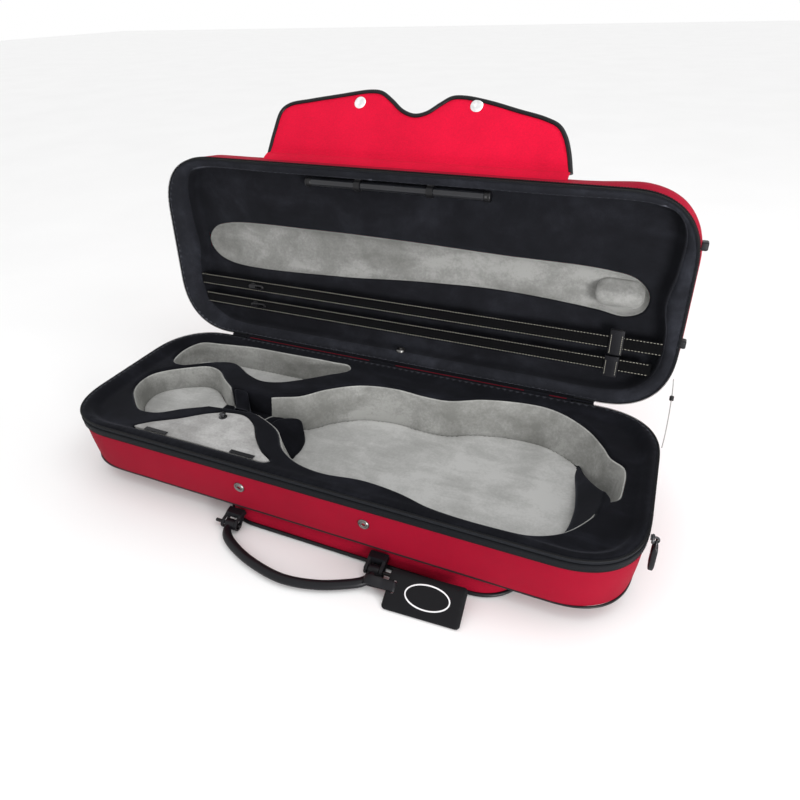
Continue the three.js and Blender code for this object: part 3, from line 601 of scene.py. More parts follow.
def suede(name, dark, mid, light):
    """Light mottled nap, with lighter and darker strokes where it was brushed."""
    look = Look(name, 0.92, **sheen(0.3, 0.4, (0.95, 0.95, 0.9), 0.12))
    broad = look.noise(12, 3, 0.55, 0.5)
    strokes = look.noise(30, 4, 0.6, 0.9, stretch=(0.6, 1.3, 1.1))
    nap = look.noise(260, 4, 0.75)
    pile = look.noise(1500, 2, 0.7)
    mixed = look.mix((broad, 0.46), (strokes, 0.30), (nap, 0.24))
    middle = tuple(0.5 * (d + m) for d, m in zip(dark, mid))
    tone = look.ramp(mixed, [(0.40, dark), (0.465, middle), (0.515, mid), (0.585, light)])
    return look.finish(tone, look.bump(pile, 0.0004, 0.5, look.bump(mixed, 0.0022, 0.35)))


def leather(name, colour, scale=900, roughness=0.42):
    """Fine pebble grain with creases."""
    look = Look(name, roughness, **{"Coat Weight": 0.04, "Coat Roughness": 0.3, "Specular IOR Level": 0.22})
    spot = look.node("TexCoord", {}).outputs["Object"]
    cells = look.node("TexVoronoi", {"Vector": spot, "Scale": scale}, feature="SMOOTH_F1").outputs["Distance"]
    crease = look.noise(160, 4, 0.6)
    wear = look.noise(22, 4, 0.6)
    tone = look.tones(look.mix((wear, 0.7), (cells, 0.3)), colour, (0.3, 0.7), (0.55, 1), (0.85, 1.7))
    rough = look.level(wear, 0.3, 0.7, roughness - 0.08, roughness + 0.12)
    return look.finish(tone, look.bump(look.mix((cells, 0.8), (crease, 0.5)), 0.00025, 0.6), rough)


def webbing(name, colour, pitch=1.5, roughness=0.6):
    """Ribbed tape: chevrons that run along it."""
    look = Look(name, roughness, **sheen(0.02, 0.5, (0.6, 0.65, 0.7), 0.08))
    across, length = look.threads(pitch)
    rib = look.math("SINE", look.math("ADD", across, look.math("PINGPONG", length, math.pi * 2.2)))
    height = look.mix((rib, 1.0), (look.math("SINE", look.math("MULTIPLY", length, 2.3)), 0.35))
    value = look.mix((look.level(height, -1.3, 1.3, 0.2, 0.75), 1.0), (look.noise(300, 3, 0.6), 0.25))
    tone = look.tones(value, colour, (0.25, 0.45), (0.6, 1), (0.95, 2.0))
    return look.finish(tone, look.bump(height, 0.0002, 0.8))


def metal(name, colour, roughness):
    look = Look(name, roughness, 1.0)
    scratch = look.noise(260, 3, 0.6, stretch=(1, 1, 14))
    dull = look.noise(90, 4, 0.6)
    tone = look.tones(dull, colour, (0.3, 0.75), (0.55, 1), (0.8, 1.15))
    rough = look.level(dull, 0.3, 0.7, roughness - 0.08, roughness + 0.16)
    return look.finish(tone, look.bump(scratch, 0.00005, 0.4), rough)


def plastic(name, colour, roughness, grain=0.00006, **sockets):
    look = Look(name, roughness, **{"Specular IOR Level": 0.3, **sockets})
    wear = look.noise(45, 4, 0.6)
    tone = look.tones(wear, colour, (0.3, 0.8), (0.55, 1), (0.8, 1.3))
    rough = look.level(wear, 0.3, 0.7, roughness - 0.08, roughness + 0.1)
    return look.finish(tone, look.bump(look.noise(700, 2, 0.6), grain, 0.5), rough)


red_cloth = woven("red_cloth", (0.232, 0.0016, 0.0145), 0.85)
# The lid's cover cloth is a brighter copy of the base's red cloth: painted light where the lamp falls on the
# lid.
lit_red_lid_cloth = woven("lit_red_lid_cloth", (0.32, 0.0025, 0.021), 0.85)
# The flap, its root strip and its stitches take a still brighter copy of the red cloth: painted light on the
# flap, which faces the light.
lit_red_flap_cloth = woven("lit_red_flap_cloth", (0.62, 0.005, 0.034), 0.85)
dark_red_cord = woven("dark_red_cord", (0.10, 0.002, 0.008))
pale_thread = woven("pale_thread", (0.46, 0.44, 0.37), tint=(1, 1, 1))
grey_cord = woven("grey_cord", (0.30, 0.30, 0.29), tint=(1, 1, 1))
black_velvet = velvet("black_velvet", (0.0048, 0.0051, 0.0072), (0.0135, 0.0142, 0.0195), 0.2)
# The lid's velvet comes as two copies of one pile: the lighter border copy is painted light, the darker panel
# copy is painted shade.
lit_lid_border = velvet("lit_lid_border", (0.013, 0.0137, 0.0175), (0.031, 0.033, 0.042), 0.36)
lid_velvet = velvet("lid_velvet", (0.008, 0.0084, 0.0108), (0.017, 0.018, 0.023), 0.2)
# One suede in two copies: the cavity walls and the front tray take a darker copy, painted shade; the cavity
# floors take a lighter copy, painted light.
shaded_wall_suede = suede("shaded_wall_suede", (0.20, 0.20, 0.188), (0.285, 0.285, 0.272), (0.365, 0.365, 0.35))
# The bow's tray and pillow in the lid take a darker copy of the suede: painted shade.
shaded_lid_suede = suede("shaded_lid_suede", (0.150, 0.150, 0.142), (0.212, 0.212, 0.204), (0.275, 0.275, 0.265))
lit_floor_suede = suede("lit_floor_suede", (0.35, 0.35, 0.34), (0.435, 0.435, 0.425), (0.51, 0.51, 0.50))
pale_suede = suede("pale_suede", (0.26, 0.255, 0.25), (0.355, 0.35, 0.345), (0.45, 0.445, 0.44))
edge_suede = suede("edge_suede", (0.24, 0.24, 0.23), (0.34, 0.34, 0.325), (0.45, 0.45, 0.43))
black_leather = leather("black_leather", (0.005, 0.005, 0.007))
piping_leather = leather("piping_leather", (0.005, 0.0055, 0.007), 700, 0.34)
black_web = webbing("black_web", (0.0045, 0.005, 0.0065))
strap_web = webbing("strap_web", (0.0016, 0.0016, 0.002), 1.1, 0.75)
zip_tape = webbing("zip_tape", (0.012, 0.013, 0.016), 0.8, 0.75)
zip_teeth = plastic("zip_teeth", (0.004, 0.004, 0.004), 0.5)
black_plastic = plastic("black_plastic", (0.006, 0.006, 0.007), 0.36)
glossy_black = plastic("glossy_black", (0.006, 0.006, 0.007), 0.16)
tag_plastic = plastic("tag_plastic", (0.003, 0.003, 0.0042), 0.5, **{"Specular IOR Level": 0.18})
white_print = plastic("white_print", (0.75, 0.75, 0.76), 0.5)
clear_tube = plastic("clear_tube", (0.010, 0.0105, 0.013), 0.12, 0.0, **{"IOR": 1.49, "Specular IOR Level": 0.5})
nickel = metal("nickel", (0.20, 0.195, 0.19), 0.26)
dark_nickel = metal("dark_nickel", (0.07, 0.07, 0.074), 0.30)
white_snap = metal("white_snap", (0.92, 0.92, 0.93), 0.35)

# ---- Base -----------------------------------------------------------------------------------


def build_base_cover():
    top = 86.4
    rings = []
    for z, inset in ((top, 1.5), (80, 0.9), (70, 0.3), (56, 0.0), (44, 0.1), (34, 0.4), (28, 0.8),
                     (25.8, 1.3), (24.7, 2.4), (24.05, 4.6), (23.8, 9.0)):
        ring = lean_base(offset(CASE, inset), z)
        wave = ripple(at_height(ring, z), 34, 0.35 * min(1, (top - z) / 20))
        rings.append(at_height(pushed_in(ring, wave), z))
    cover = Piece().loft(rings[::-1]).sheet(rings[-1][:, :2], 18, 23.8, flip=True)
    cover.build("base_cover_cloth", red_cloth, "base", "base_cover")


def away_from_hinge(rings, half=270.0):
    """The same rings without the stretch along the hinge, as open lines."""
    first = rings[0]
    order = kept((np.abs(first[:, 0]) >= half) | (first[:, 1] <= 100))
    return [ring[order] for ring in rings]


def build_rim(side):
    """The woven band, zip tape and zip teeth round one rim."""
    base = side == "base"
    lean, rim, down, deep = (lean_base, RIM_Z, -1, 18.2) if base else (lean_lid, LID_RIM_Z, 1, 10.2)

    def lines(profile):
        """Open lines round the rim from (inset, depth) pairs."""
        levels = [(inset, rim + down * depth) for inset, depth in profile]
        return away_from_hinge([at_height(lean(offset(CASE, inset), z), z) for inset, z in levels])

    def strip(profile):
        return Piece().loft(lines(profile)[::-1 if base else 1], closed=False)

    strip([(2.0, 6.0), (0.5, 6.1), (-0.3, 6.8), (-0.6, 8.2), (-0.6, deep - 2.6), (-0.3, deep - 1.0),
           (0.5, deep - 0.1), (2.0, deep)]).build(f"{side}_band_web", black_web, side, f"{side}_binding")
    strip([(3.6, 0.8), (1.9, 0.5), (1.2, 0.8), (0.9, 1.6), (0.9, 5.2), (1.6, 6.2)]).build(
        f"{side}_zip_tape", zip_tape, side, f"{side}_zipper")
    seam = stitches(lines([(-0.75, deep - 1.9)]), 3.4, 2.3, 0.28)
    seam.build(f"{side}_band_stitches", black_web, side, weld=False)
    line = lines([(1.3, 0.0)])[0] + (0, 0, down * 0.25)
    spots = along(line, np.arange(1.0, running(line)[-1] - 1, 2.1))
    tooth = Piece().box((-0.6, -1.0, -0.55), (0.6, 1.0, 0.35), 0.2)
    teeth = Piece()
    for spot, t in zip(spots, unit(np.gradient(spots, axis=0))):
        axes = np.array([t, (-t[1], t[0], 0), (0, 0, -down)])
        teeth.add(spot + tooth.points[0] @ axes, tooth.faces, tooth.uvs)
    teeth.build(f"{side}_zip_teeth", zip_teeth, side, weld=False)


def build_piping():
    lower = at_height(offset(CASE, BASE_TAPER + 2.0), 24.1)
    tube(lower, circle(1.4, 12), closed=True).build("base_piping_cord", piping_leather, "base",
                                                    "base_piping")
    upper = at_height(lean_lid(offset(CASE, 5.0), LID_TOP_Z), LID_TOP_Z + 0.5)
    tube(upper, circle(1.7, 12), closed=True).build("lid_piping_cord", piping_leather, "lid",
                                                    "lid_piping")


def build_pocket():
    rings = []
    for z, inset in ((0.1, 9), (0.05, 5), (0.3, 2.5), (1.0, 0.8), (2.6, 0.2), (6, 0.5), (11, 1.4),
                     (16, 3.2), (20, 6.0), (23.2, 8.6)):
        ring = offset(POCKET, inset)
        bulge = 2.2 * np.exp(-((z - 10) / 6.0) ** 2) * (0.6 + 0.4 * np.sin(ring[:, 0] / 31.0))
        rings.append(at_height(pushed_in(ring, -0.6 * bulge), z))
    pocket = Piece().loft(rings).sheet(rings[0][:, :2], 16, 0.1, flip=True)
    pocket.build("music_pocket", red_cloth, "base", "bottom_pocket")
    cord = tube(at_height(offset(POCKET, -1.2), 3.0), circle(2.6, 12), closed=True)
    cord.build("pocket_piping_cord", piping_leather, "base", "pocket_piping")


# ---- The insert's top, its linings and pads --------------------------------------------------


def top_height(plan):
    """The insert's top: a soft roll at the rim, lower inside, and a lip round each cavity."""
    gap = distance_to(plan, CASE)
    sink = 3.4 + 5.6 * ease(np.abs(plan[:, 0]), 230, 340)
    field = RIM_Z - 0.4 - sink + (1 - ease(gap, 9, 24)) * sink
    return field - 0.16 * np.clip(6.0 - gap, 0, 6) ** 2 + 0.5 - 0.8 * rolled(nearest(plan, CAVITIES), LIP)


def build_insert():
    outer = offset(CASE, 3.2)
    dense = [offset(loop, -out) for loop in CAVITIES for out in (0.9, 2.0, 3.4, 5.2)]
    dense += [offset(CASE, inset)[::2] for inset in (4.6, 6.5)]
    dense = between_loops(np.vstack(dense), outer, CAVITIES, 0.7)
    top = Piece().sheet(outer, 5.0, top_height, CAVITIES, dense=dense)
    edge = at_height(outer, top_height(outer))
    top.loft([edge - (0, 0, 6), edge])
    for loop, depth in zip(CAVITIES, (5.0, 5.0, 6.0)):
        upper = at_height(loop, top_height(loop))
        lower = upper - (0, 0, depth)
        if loop is WELL:
            neck = (loop[:, 0] > NECK_FROM - 9) & (loop[:, 0] < NECK_TO + 9)
            lower[neck, 2] = CHANNEL_FLOOR
        top.loft([upper, upper - (0, 0, 1.3), lower])
    top.loft([[(x, y, CHANNEL_FLOOR) for x in (-222, -118)] for y in (-37, 9)], closed=False)
    top.build("insert_velvet", black_velvet, "base", "base_insert base_shell", sharp=70)


TRAYS = {"violin_bed": (VIOLIN, VIOLIN_FLOOR, 15, (107, -2), (250, 125)),
         "scroll_tray": (SCROLL, TRAY_FLOOR, 6, (-275, -13), (88, 68)),
         "back_tray": (BACK, TRAY_FLOOR, 4, (-220, 88), (145, 42))}


def build_tray(name):
    """A cavity's rolled edge, its walls and its padded floor."""
    loop, floor, lean_in, centre, half = TRAYS[name]
    lip = top_height(loop) - 0.7
    if name == "violin_bed":
        lip[loop[:, 0] < NECK_TO + 2] = CHANNEL_FLOOR + 0.4
    if name == "scroll_tray":
        lip[loop[:, 0] > NECK_FROM - 2] = CHANNEL_FLOOR + 0.4
    roll = ((0.9, -2.6), (0.5, -1.2), (0.45, -0.4), (0.8, 0.1), (1.4, 0.2), (2.0, -0.3), (2.3, -1.2))
    bead = Piece().loft([at_height(offset(loop, inset), lip + rise) for inset, rise in roll])
    bead.build(f"{name}_edge", edge_suede, "base")
    rings = []
    for share in (0.0, 0.05, 0.14, 0.26, 0.4, 0.55, 0.7, 0.83, 0.93, 0.985, 1.0):
        ring = scaled(offset(loop, 2.2), centre, half, lean_in * share)
        z = (lip - 1.0) * (1 - share) + (floor - 1) * share
        arch = math.sin(share * math.pi)
        swell = 1.6 * arch + ripple(at_height(ring, z), 26, 0.9 * arch ** 0.5, 7)
        rings.append(at_height(pushed_in(ring, -swell), z))
    # The walls take the darker suede copy: painted shade.
    Piece().loft(rings).build(f"{name}_walls", shaded_wall_suede, "base", sharp=75)
    plan = scaled(offset(loop, 3.2), centre, half, lean_in)

    def height(points):
        gap = distance_to(points, plan)
        soft = ripple(at_height(points, 0), 45, 1.1, 3)
        return floor + 3.2 - rolled(gap, 2.6) + soft * ease(gap, 0, 20) + ease(gap, 0, 50)

    dense = between_loops(np.vstack([offset(plan, d)[::2] for d in (0.9, 2.2)]), plan, (), 0.5)
    rim = at_height(plan, height(plan))
    pad = Piece().sheet(plan, 6.5, height, dense=dense).loft([at_height(plan, floor - 1), rim])
    # The floor takes the lighter suede copy: painted light.
    pad.build(f"{name}_floor", lit_floor_suede, "base", name, sharp=75)


def build_pads():
    lower = smooth_loop([(289, 96), (298, 60), (306, 20), (310, -17), (309, -50), (301, -84),
                         (320, -84), (338, -62), (349, -32), (338, -14), (324, 14), (312, 44),
                         (303, 74), (295, 97)], 150)
    upper = smooth_loop([(-126, -24), (-112, -38), (-92, -51), (-76, -53), (-70, -36), (-74, -10),
                         (-86, 8), (-98, 20), (-114, 10), (-126, -2)], 110)

    def lower_height(p):
        rise = np.clip(p[:, 0] - 300 - 0.035 * (p[:, 1] + 20), -6, 60)
        return np.minimum(96, VIOLIN_FLOOR + 8 + 1.15 * rise + 1.2 * np.sin(p[:, 1] / 21))

    def upper_height(p):
        return VIOLIN_FLOOR + 8 + 17 * (1 - ease(p[:, 0], -122, -66))

    cushion("lower_pad_velvet", lower, lower_height, VIOLIN_FLOOR, 2.6, black_velvet, "base", "lower_pad")
    cushion("upper_pad_velvet", upper, upper_height, VIOLIN_FLOOR, 3.0, black_velvet, "base", "upper_pad")
    ys = np.linspace(-36, 8, 33)
    notch = 15.5 * np.clip(1 - ((ys + 14) / 19.0) ** 2, 0, 1) ** 0.6
    left, right = -188 - 0.70 * (ys + 11), -162 - 0.78 * (ys + 11)
    rings = []
    for share, drop in ((0.0, 40), (0.0, 14), (0.02, 5), (0.08, 2), (0.2, 0.3), (0.5, 0), (0.8, 0.3),
                        (0.92, 2), (0.98, 5), (1.0, 40)):
        z = np.maximum(99.5 - notch - drop, CHANNEL_FLOOR)
        rings.append(np.column_stack([left + (right - left) * share, ys, z]))
    cradle = Piece().loft(rings, closed=False, flip=True)
    cradle.build("neck_cradle_velvet", black_velvet, "base", "neck_cradle", sharp=80)


def build_accessory_lid():
    body = "accessory_lid"
    loop = offset(FRONT, 1.5)
    cushion("accessory_panel", loop, lambda p: 100.4 + 0.9 * ease(distance_to(p, loop), 0, 14), 98.4, 1.6,
            pale_suede, body, "accessory_lid", spacing=4.0)
    ball = [(4.4, 0), (4.5, 0.9), (3.2, 1.5), (2.1, 2.0), (1.9, 3.0), (2.5, 3.7), (3.4, 4.4), (3.5, 5.1),
            (3.0, 5.8), (1.8, 6.3), (0.0, 6.45)]
    turned([(1.3 * r, 1.15 * z) for r, z in ball]).build(
        "accessory_knob_metal", dark_nickel, body, "accessory_knob", put((-168, -62, 101.0), AXES))
    section = np.array([(3.2, 0.0), (2.9, 0.55), (-2.9, 0.55), (-3.2, 0.0), (-2.9, -0.45), (2.9, -0.45)])
    for side, x0 in (("left", -252), ("right", -112)):
        path = [(x0 + 36 * t, -121.6, 101.9) for t in np.linspace(0, 1, 13)]
        tube(path, section).build(f"accessory_tape_{side}", black_leather, body, f"accessory_hinge_{side}")
    rings = [at_height(scaled(offset(FRONT, 8), (-165, -90), (90, 34), 3 * s), 97.4 * (1 - s) + TRAY_FLOOR * s)
             for s in (0, 0.3, 0.7, 0.95, 1)]
    tray = Piece().loft(rings).sheet(rings[-1][:, :2], 8, TRAY_FLOOR)
    tray.loft([at_height(offset(FRONT, 0.8), 97.6), rings[0]])
    # The front tray takes the darker suede copy: painted shade.
    tray.build("front_tray_lining", shaded_wall_suede, "base", "front_tray", sharp=60)


def build_snaps():
    ring = [(0.0, 0.6), (2.2, 0.6), (2.4, 2.3), (3.0, 2.75), (3.7, 2.5), (4.6, 2.2), (5.6, 2.8), (6.6, 2.9),
            (7.4, 2.1), (7.7, 0.6), (7.6, 0.0)][::-1]
    hole = [(0.0, 0.95), (1.9, 0.9), (2.35, 0.7)][::-1]
    wall = math.atan2(BASE_TAPER, RIM_Z - POCKET_Z)
    c, s = math.cos(wall), math.sin(wall)
    for side, x in SNAPS_X.items():
        name = f"base_snap_{side}"
        low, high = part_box(name)
        spot = put((x, high.y / MM - 0.2, (low.z + high.z) / 2 / MM), ((1, 0, 0), (0, -s, c), (0, -c, -s)))
        turned(ring, 48).build(f"{name}_metal", nickel, "base", name, spot)
        turned(hole, 30).build(f"{name}_hole", black_plastic, "base", place=spot)


# ---- Handle and tag --------------------------------------------------------------------------


def build_handle():
    grip = smooth_path([(-104, -158, 8.2), (-103.4, -166, 7.6), (-95, -176, 7), (-74, -188, 6.8),
                        (-40, -200, 6.8), (6, -207, 6.8), (48, -200, 6.8), (79, -187, 6.8), (97, -176, 7),
                        (103.4, -166, 7.6), (104, -158, 8.2)], 12)
    thick = 0.80 + 0.22 * (1 - ease(np.abs(np.linspace(-1, 1, len(grip))), 0.55, 0.95))
    tube(grip, ellipse(6.1, 5.2, 24), grow=thick).build("handle_grip", black_leather, "handle", "handle")
    seam = stitches([grip[14:-14] + (0, 2.6, 4.9)], 3.6, 2.5, 0.32, up=(0, 0.4, 0.9))
    seam.build("handle_stitches", black_web, "handle", weld=False, slot="black_leather")
    for side, sign in (("left", -1), ("right", 1)):
        x = sign * 104.0
        eye = turned([(6.3, -6.9), (6.7, -6.4), (6.7, 6.4), (6.3, 6.9)], 32)
        eye.build(f"handle_eye_{side}", black_leather, "handle", place=put((x, PIN_Y, PIN_Z), ALONG_X))
        build_tab(side, x)
        pin = [(0, -19), (1.6, -19), (2.3, -18.3), (2.3, 17.2), (1.6, 18.9), (0, 19)]
        turned(pin, 24).build(f"handle_pin_{side}_plastic", black_plastic, "base", f"handle_pin_{side}",
                              put((x + sign * 5, PIN_Y, PIN_Z), ALONG_X))


def build_tab(side, x):
    """A leather strap folded over the pin, stitched to the front edge."""
    route = smooth_path([(0, -138.5, 20.0), (0, -144.5, 19.4), (0, -151, 16.6), (0, -158.5, 14.0),
                         (0, -162.3, 9.5), (0, -160.5, 4.6), (0, -156, 3.0), (0, -151.6, 4.8),
                         (0, -149.4, 8), (0, -144, 13), (0, -138.5, 16)], 5)
    section = np.array([(2.2, 0.2), (1.9, 0.9), (-1.9, 0.9), (-2.2, 0.2), (-2.2, -0.5), (-1.9, -0.9),
                        (1.9, -0.9), (2.2, -0.5)])
    tab = Piece()
    for middle in (x - 9.8, x + 9.8):
        rings = sweep_rings(route + (middle, 0, 0), section, side=(1, 0, 0))
        tab.loft(rings, flip=True, first=True, last=True)
    tab.box((x - 12, -149.5, 14.0), (x + 12, -137.2, 20.6), 1.2)
    tab.build(f"handle_tab_{side}_leather", black_leather, "base", f"handle_tab_{side}", sharp=50)


def build_tag():
    low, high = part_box("tag_card")
    lean, turn = math.radians(27), math.radians(3)
    x_axis = np.array([math.cos(turn), math.sin(turn), 0])
    y_axis = np.array([-math.sin(turn) * math.cos(lean), math.cos(turn) * math.cos(lean), math.sin(lean)])
    place = put(tuple((low + high) / 2 / MM), (x_axis, y_axis, np.cross(x_axis, y_axis)))
    outline = resample(rounded_plan(46, 23, 4.5, 2, 8), 120)
    slit = resample(rounded_plan(2.2, 7.5, 2, 2, 5), 30)[::-1] + np.array([-38, 3])
    top = offset(outline, 0.5)
    card = Piece().loft([at_height(top, -1.0), at_height(outline, -0.6), at_height(outline, 0.6),
                         at_height(top, 1.0)])
    card.sheet(top, 6, 1.0, [slit]).sheet(top, 6, -1.0, [slit], flip=True)
    card.loft([at_height(slit, -1.0), at_height(slit, 1.0)])
    card.build("tag_card_plastic", tag_plastic, "luggage_tag", "tag_card", place)
    oval = ellipse(27, 14.5, 96) + (3, 1)
    mark = Piece().loft([at_height(offset(oval, inset), z)
                         for inset, z in ((0, 1.01), (0.15, 1.14), (1.45, 1.14), (1.6, 1.01))])
    mark.build("tag_oval", white_print, "luggage_tag", place=place)
    route = smooth_path([(-37.6, 0, 2.4), (-44, 0, 2.9), (-52, 0, 3.4), (-60, 0, 5.2), (-67, 0, 6.0),
                         (-73.5, 0, 3.0), (-75, 0, -2.2), (-71, 0, -5.6), (-63, 0, -5.0), (-54, 0, -3.2),
                         (-45, 0, -2.6), (-38.2, 0, -2.4), (-35.8, 0, 0.0)], 6) + (0, 3, 0)
    section = np.array([(5.6, -0.35), (5.2, -0.6), (-5.2, -0.6), (-5.6, -0.35), (-5.6, 0.35), (-5.2, 0.6),
                        (5.2, 0.6), (5.6, 0.35)])
    rings = sweep_rings(route, section, closed=True, side=(0, 1, 0))
    Piece().loft(rings + rings[:1]).build("tag_strap_leather", black_leather, "luggage_tag", "tag_strap",
                                          place, sharp=50)


# ---- Right-hand end ---------------------------------------------------------------------------


def build_slider():
    wall, y = LENGTH / 2, -80.0
    plan = resample(rounded_plan(5.6, 3.9, 3.4, 2.2, 6), 40)
    slider = Piece().loft([upright(offset(plan, inset), wall + out, y, 99) for out, inset in
                           ((0.8, 0.6), (1.3, 0.0), (2.6, 0.0), (3.4, 0.5), (3.7, 1.5))], last=True)
    slider.box((wall - 0.6, y - 3, 99.2), (wall + 1.4, y + 3, 102.4))
    bridge = smooth_path([(wall + 3.2, y, 102), (wall + 7.2, y, 101.4), (wall + 8.3, y, 98.4),
                          (wall + 7.0, y, 95.8), (wall + 3.2, y, 95.4)], 6)
    slider.loft(sweep_rings(bridge, ellipse(1.0, 1.7, 10), up=(0, 1, 0)), flip=True, first=True, last=True)
    slider.build("zip_slider_metal", dark_nickel, "zipper_slider", "zipper_slider")
    half, top, bottom, hang = 4.4, 99.5, 85.6, wall + 6
    route = smooth_path([(hang, y + half * across, z) for across, z in
                         ((-1, top - 2.5), (-1, bottom + 3), (-0.6, bottom), (0.6, bottom), (1, bottom + 3),
                          (1, top - 2.5), (0.5, top - 0.6), (-0.5, top - 0.6))], 6, closed=True)
    ring = tube(route, circle(0.95, 10), closed=True, up=(1, 0, 0))
    ring.build("pull_ring_metal", dark_nickel, "zipper_pull", "pull_ring")
    outline = resample(rounded_plan(6.6, 3.4, 2.4, 2.4, 5), 32)[:, ::-1]
    rings = []
    for k, z in enumerate(np.linspace(91.0, 58.4, 15)):
        grow = math.sin(min(1, (k + 0.6) / 3) * math.pi / 2) * (1 - 0.45 * max(0, (k - 11) / 3) ** 2)
        rings.append(at_height((hang, y) + outline * (0.55 + 0.45 * grow), z))
    Piece().loft(rings[::-1], first=True, last=True).build("pull_leather", black_leather, "zipper_pull",
                                                           "pull_strap")


def build_stay():
    route = smooth_path([(395.4, 152.6, 160.6), (396.6, 143, 151), (397.2, 128, 139.6), (397.2, 108, 124.5),
                         (396.6, 90, 110.6), (395.6, 79, 102.6)], 8)
    cord = tube(route, circle(0.62, 8)).build("stay_cord_line", grey_cord, replaces="stay_cord")
    toggle = tube([(397.1, 133 + 3.2 * t * 0.79, 143.3 + 3.2 * t * 0.61) for t in (-1, -0.8, 0, 0.8, 1)],
                  circle(2.7, 16), grow=[0.7, 1, 1, 1, 0.7]).build("stay_toggle", black_plastic)
    for piece in (cord, toggle):
        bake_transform(piece)


def build_hinge_tape():
    profile = [(145.0, 88), (145.7, 90), (145.9, 96), (145.9, 101), (146.0, 103.6), (146.4, 104.6),
               (147.2, 105.2), (148.6, 105.3), (154, 105.0), (161, 104.6), (163, 105.4)]
    tape = Piece().loft(rows(np.linspace(-303, 303, 100), profile), closed=False, flip=True)
    made = tape.build("hinge_cloth", black_velvet, replaces="hinge_tape", sharp=80)
    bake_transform(made)
    for number, (x0, x1) in enumerate(((-266, -42), (4, 205), (242, 266))):
        line = [(x, 145.6, 104.3) for x in np.linspace(x0, x1, 40)]
        tube(line, circle(0.55, 8)).build(f"hinge_cord_{number}", dark_red_cord, "base")


# ---- Lid --------------------------------------------------------------------------------------


def build_lid_cover():
    lowest = 9.6
    rings = []
    for h, inset in ((lowest, 1.5), (12, 0.9), (18, 0.0), (26, -3.0), (34, -4.4), (41, -4.4), (46, -2.6),
                     (49, 0.8), (50.0, 4.6)):
        z = LID_RIM_Z + h
        ring = lean_lid(offset(CASE, max(inset, 0)), z)
        bulge = min(inset, 0) * ease(ring[:, 0], 232, 325)
        wave = ripple(at_height(ring, z), 34, 0.3 * min(1, (h - lowest) / 10), 11)
        rings.append(at_height(pushed_in(ring, wave + bulge), z))
    plan = rings[-1][:, :2]

    def roof(points):
        gap = distance_to(points, plan)
        soft = ripple(at_height(points, 0), 60, 1.0, 5)
        return LID_TOP_Z + 0.6 * ease(gap, 0, 90) + 0.2 * soft * ease(gap, 0, 30)

    cover = Piece().loft(rings).sheet(plan, 12, roof)
    # The cover takes the brighter copy of the red cloth: painted light.
    cover.build("lid_cover_cloth", lit_red_lid_cloth, "lid", "lid_cover", sharp=60)
    xs = np.linspace(-272, 272, 60)
    behind = rows(xs, [(143.9 - 0.04 * h, LID_RIM_Z + h) for h in (0.6, 4, 7, 10.4)])
    Piece().loft(behind, closed=False, flip=True).build("lid_back_cloth", black_velvet, "lid")
    below = rows(xs, [(y, RIM_Z - h) for y, h in ((140.9, 1.1), (142.6, 0.6), (145.2, 0.7), (145.4, 4),
                                                  (143.4, 8), (142.8, 12), (142.2, 18.4))])
    Piece().loft(below, closed=False).build("base_back_cloth", black_velvet, "base")


def border_height(plan):
    """The lid liner's rim: rounded at the case's edge and into the cavity."""
    gap = distance_to(plan, CASE)
    drop = rolled(distance_to(plan, LID_CAVITY), 6.0)
    return LID_RIM_Z + (0.9 + 0.12 * np.clip(6 - gap, 0, 6) ** 2 + drop + 1.0 * ease(gap, 8, 34))


def panel_height(plan):
    """The lid liner's flat panel, rounded into the bow's recess."""
    gap = distance_to(plan, BOW)
    crown = 0.9 * ease(gap, 4, 40) * ease(distance_to(plan, PANEL_EDGE), 4, 40)
    return LID_RIM_Z + (27.0 + rolled(gap, 3.6) * 0.8 - crown)


def build_lid_liner():
    outer = offset(CASE, 3.2)
    dense = np.vstack([offset(LID_CAVITY, -out)[::2] for out in (1.2, 2.8, 5.0)]
                      + [offset(CASE, inset)[::2] for inset in (4.6, 6.5)])
    dense = between_loops(dense, outer, [LID_CAVITY], 0.8)
    border = Piece().sheet(outer, 6, border_height, [LID_CAVITY], flip=True, dense=dense)
    edge = at_height(outer, border_height(outer))
    border.loft([edge, edge + (0, 0, 6)])
    border.loft([at_height(LID_CAVITY, border_height(LID_CAVITY)),
                 at_height(offset(LID_CAVITY, 0.5), LID_RIM_Z + 9.6)], flip=True)
    # The border takes the lighter velvet copy: painted light.
    border.build("lid_velvet_border", lit_lid_border, "lid", sharp=70)
    steps = ((0.5, 9.5), (1.0, 14), (1.8, 20), (3.4, 24.0), (5.8, 26.4), (9.5, 27.0))
    liner = Piece().loft([at_height(offset(LID_CAVITY, inset), LID_RIM_Z + h) for inset, h in steps], flip=True)
    near = np.vstack([offset(BOW, -out) for out in (1.0, 2.4, 4.4)])
    liner.sheet(PANEL_EDGE, 8, panel_height, [BOW], flip=True, dense=near)
    rim = panel_height(BOW)
    liner.loft([at_height(BOW, rim), at_height(offset(BOW, -0.2), rim + 7)], flip=True)
    # The panel takes the darker velvet copy: painted shade.
    liner.build("lid_velvet_liner", lid_velvet, "lid", "lid_liner lid_shell", sharp=70)


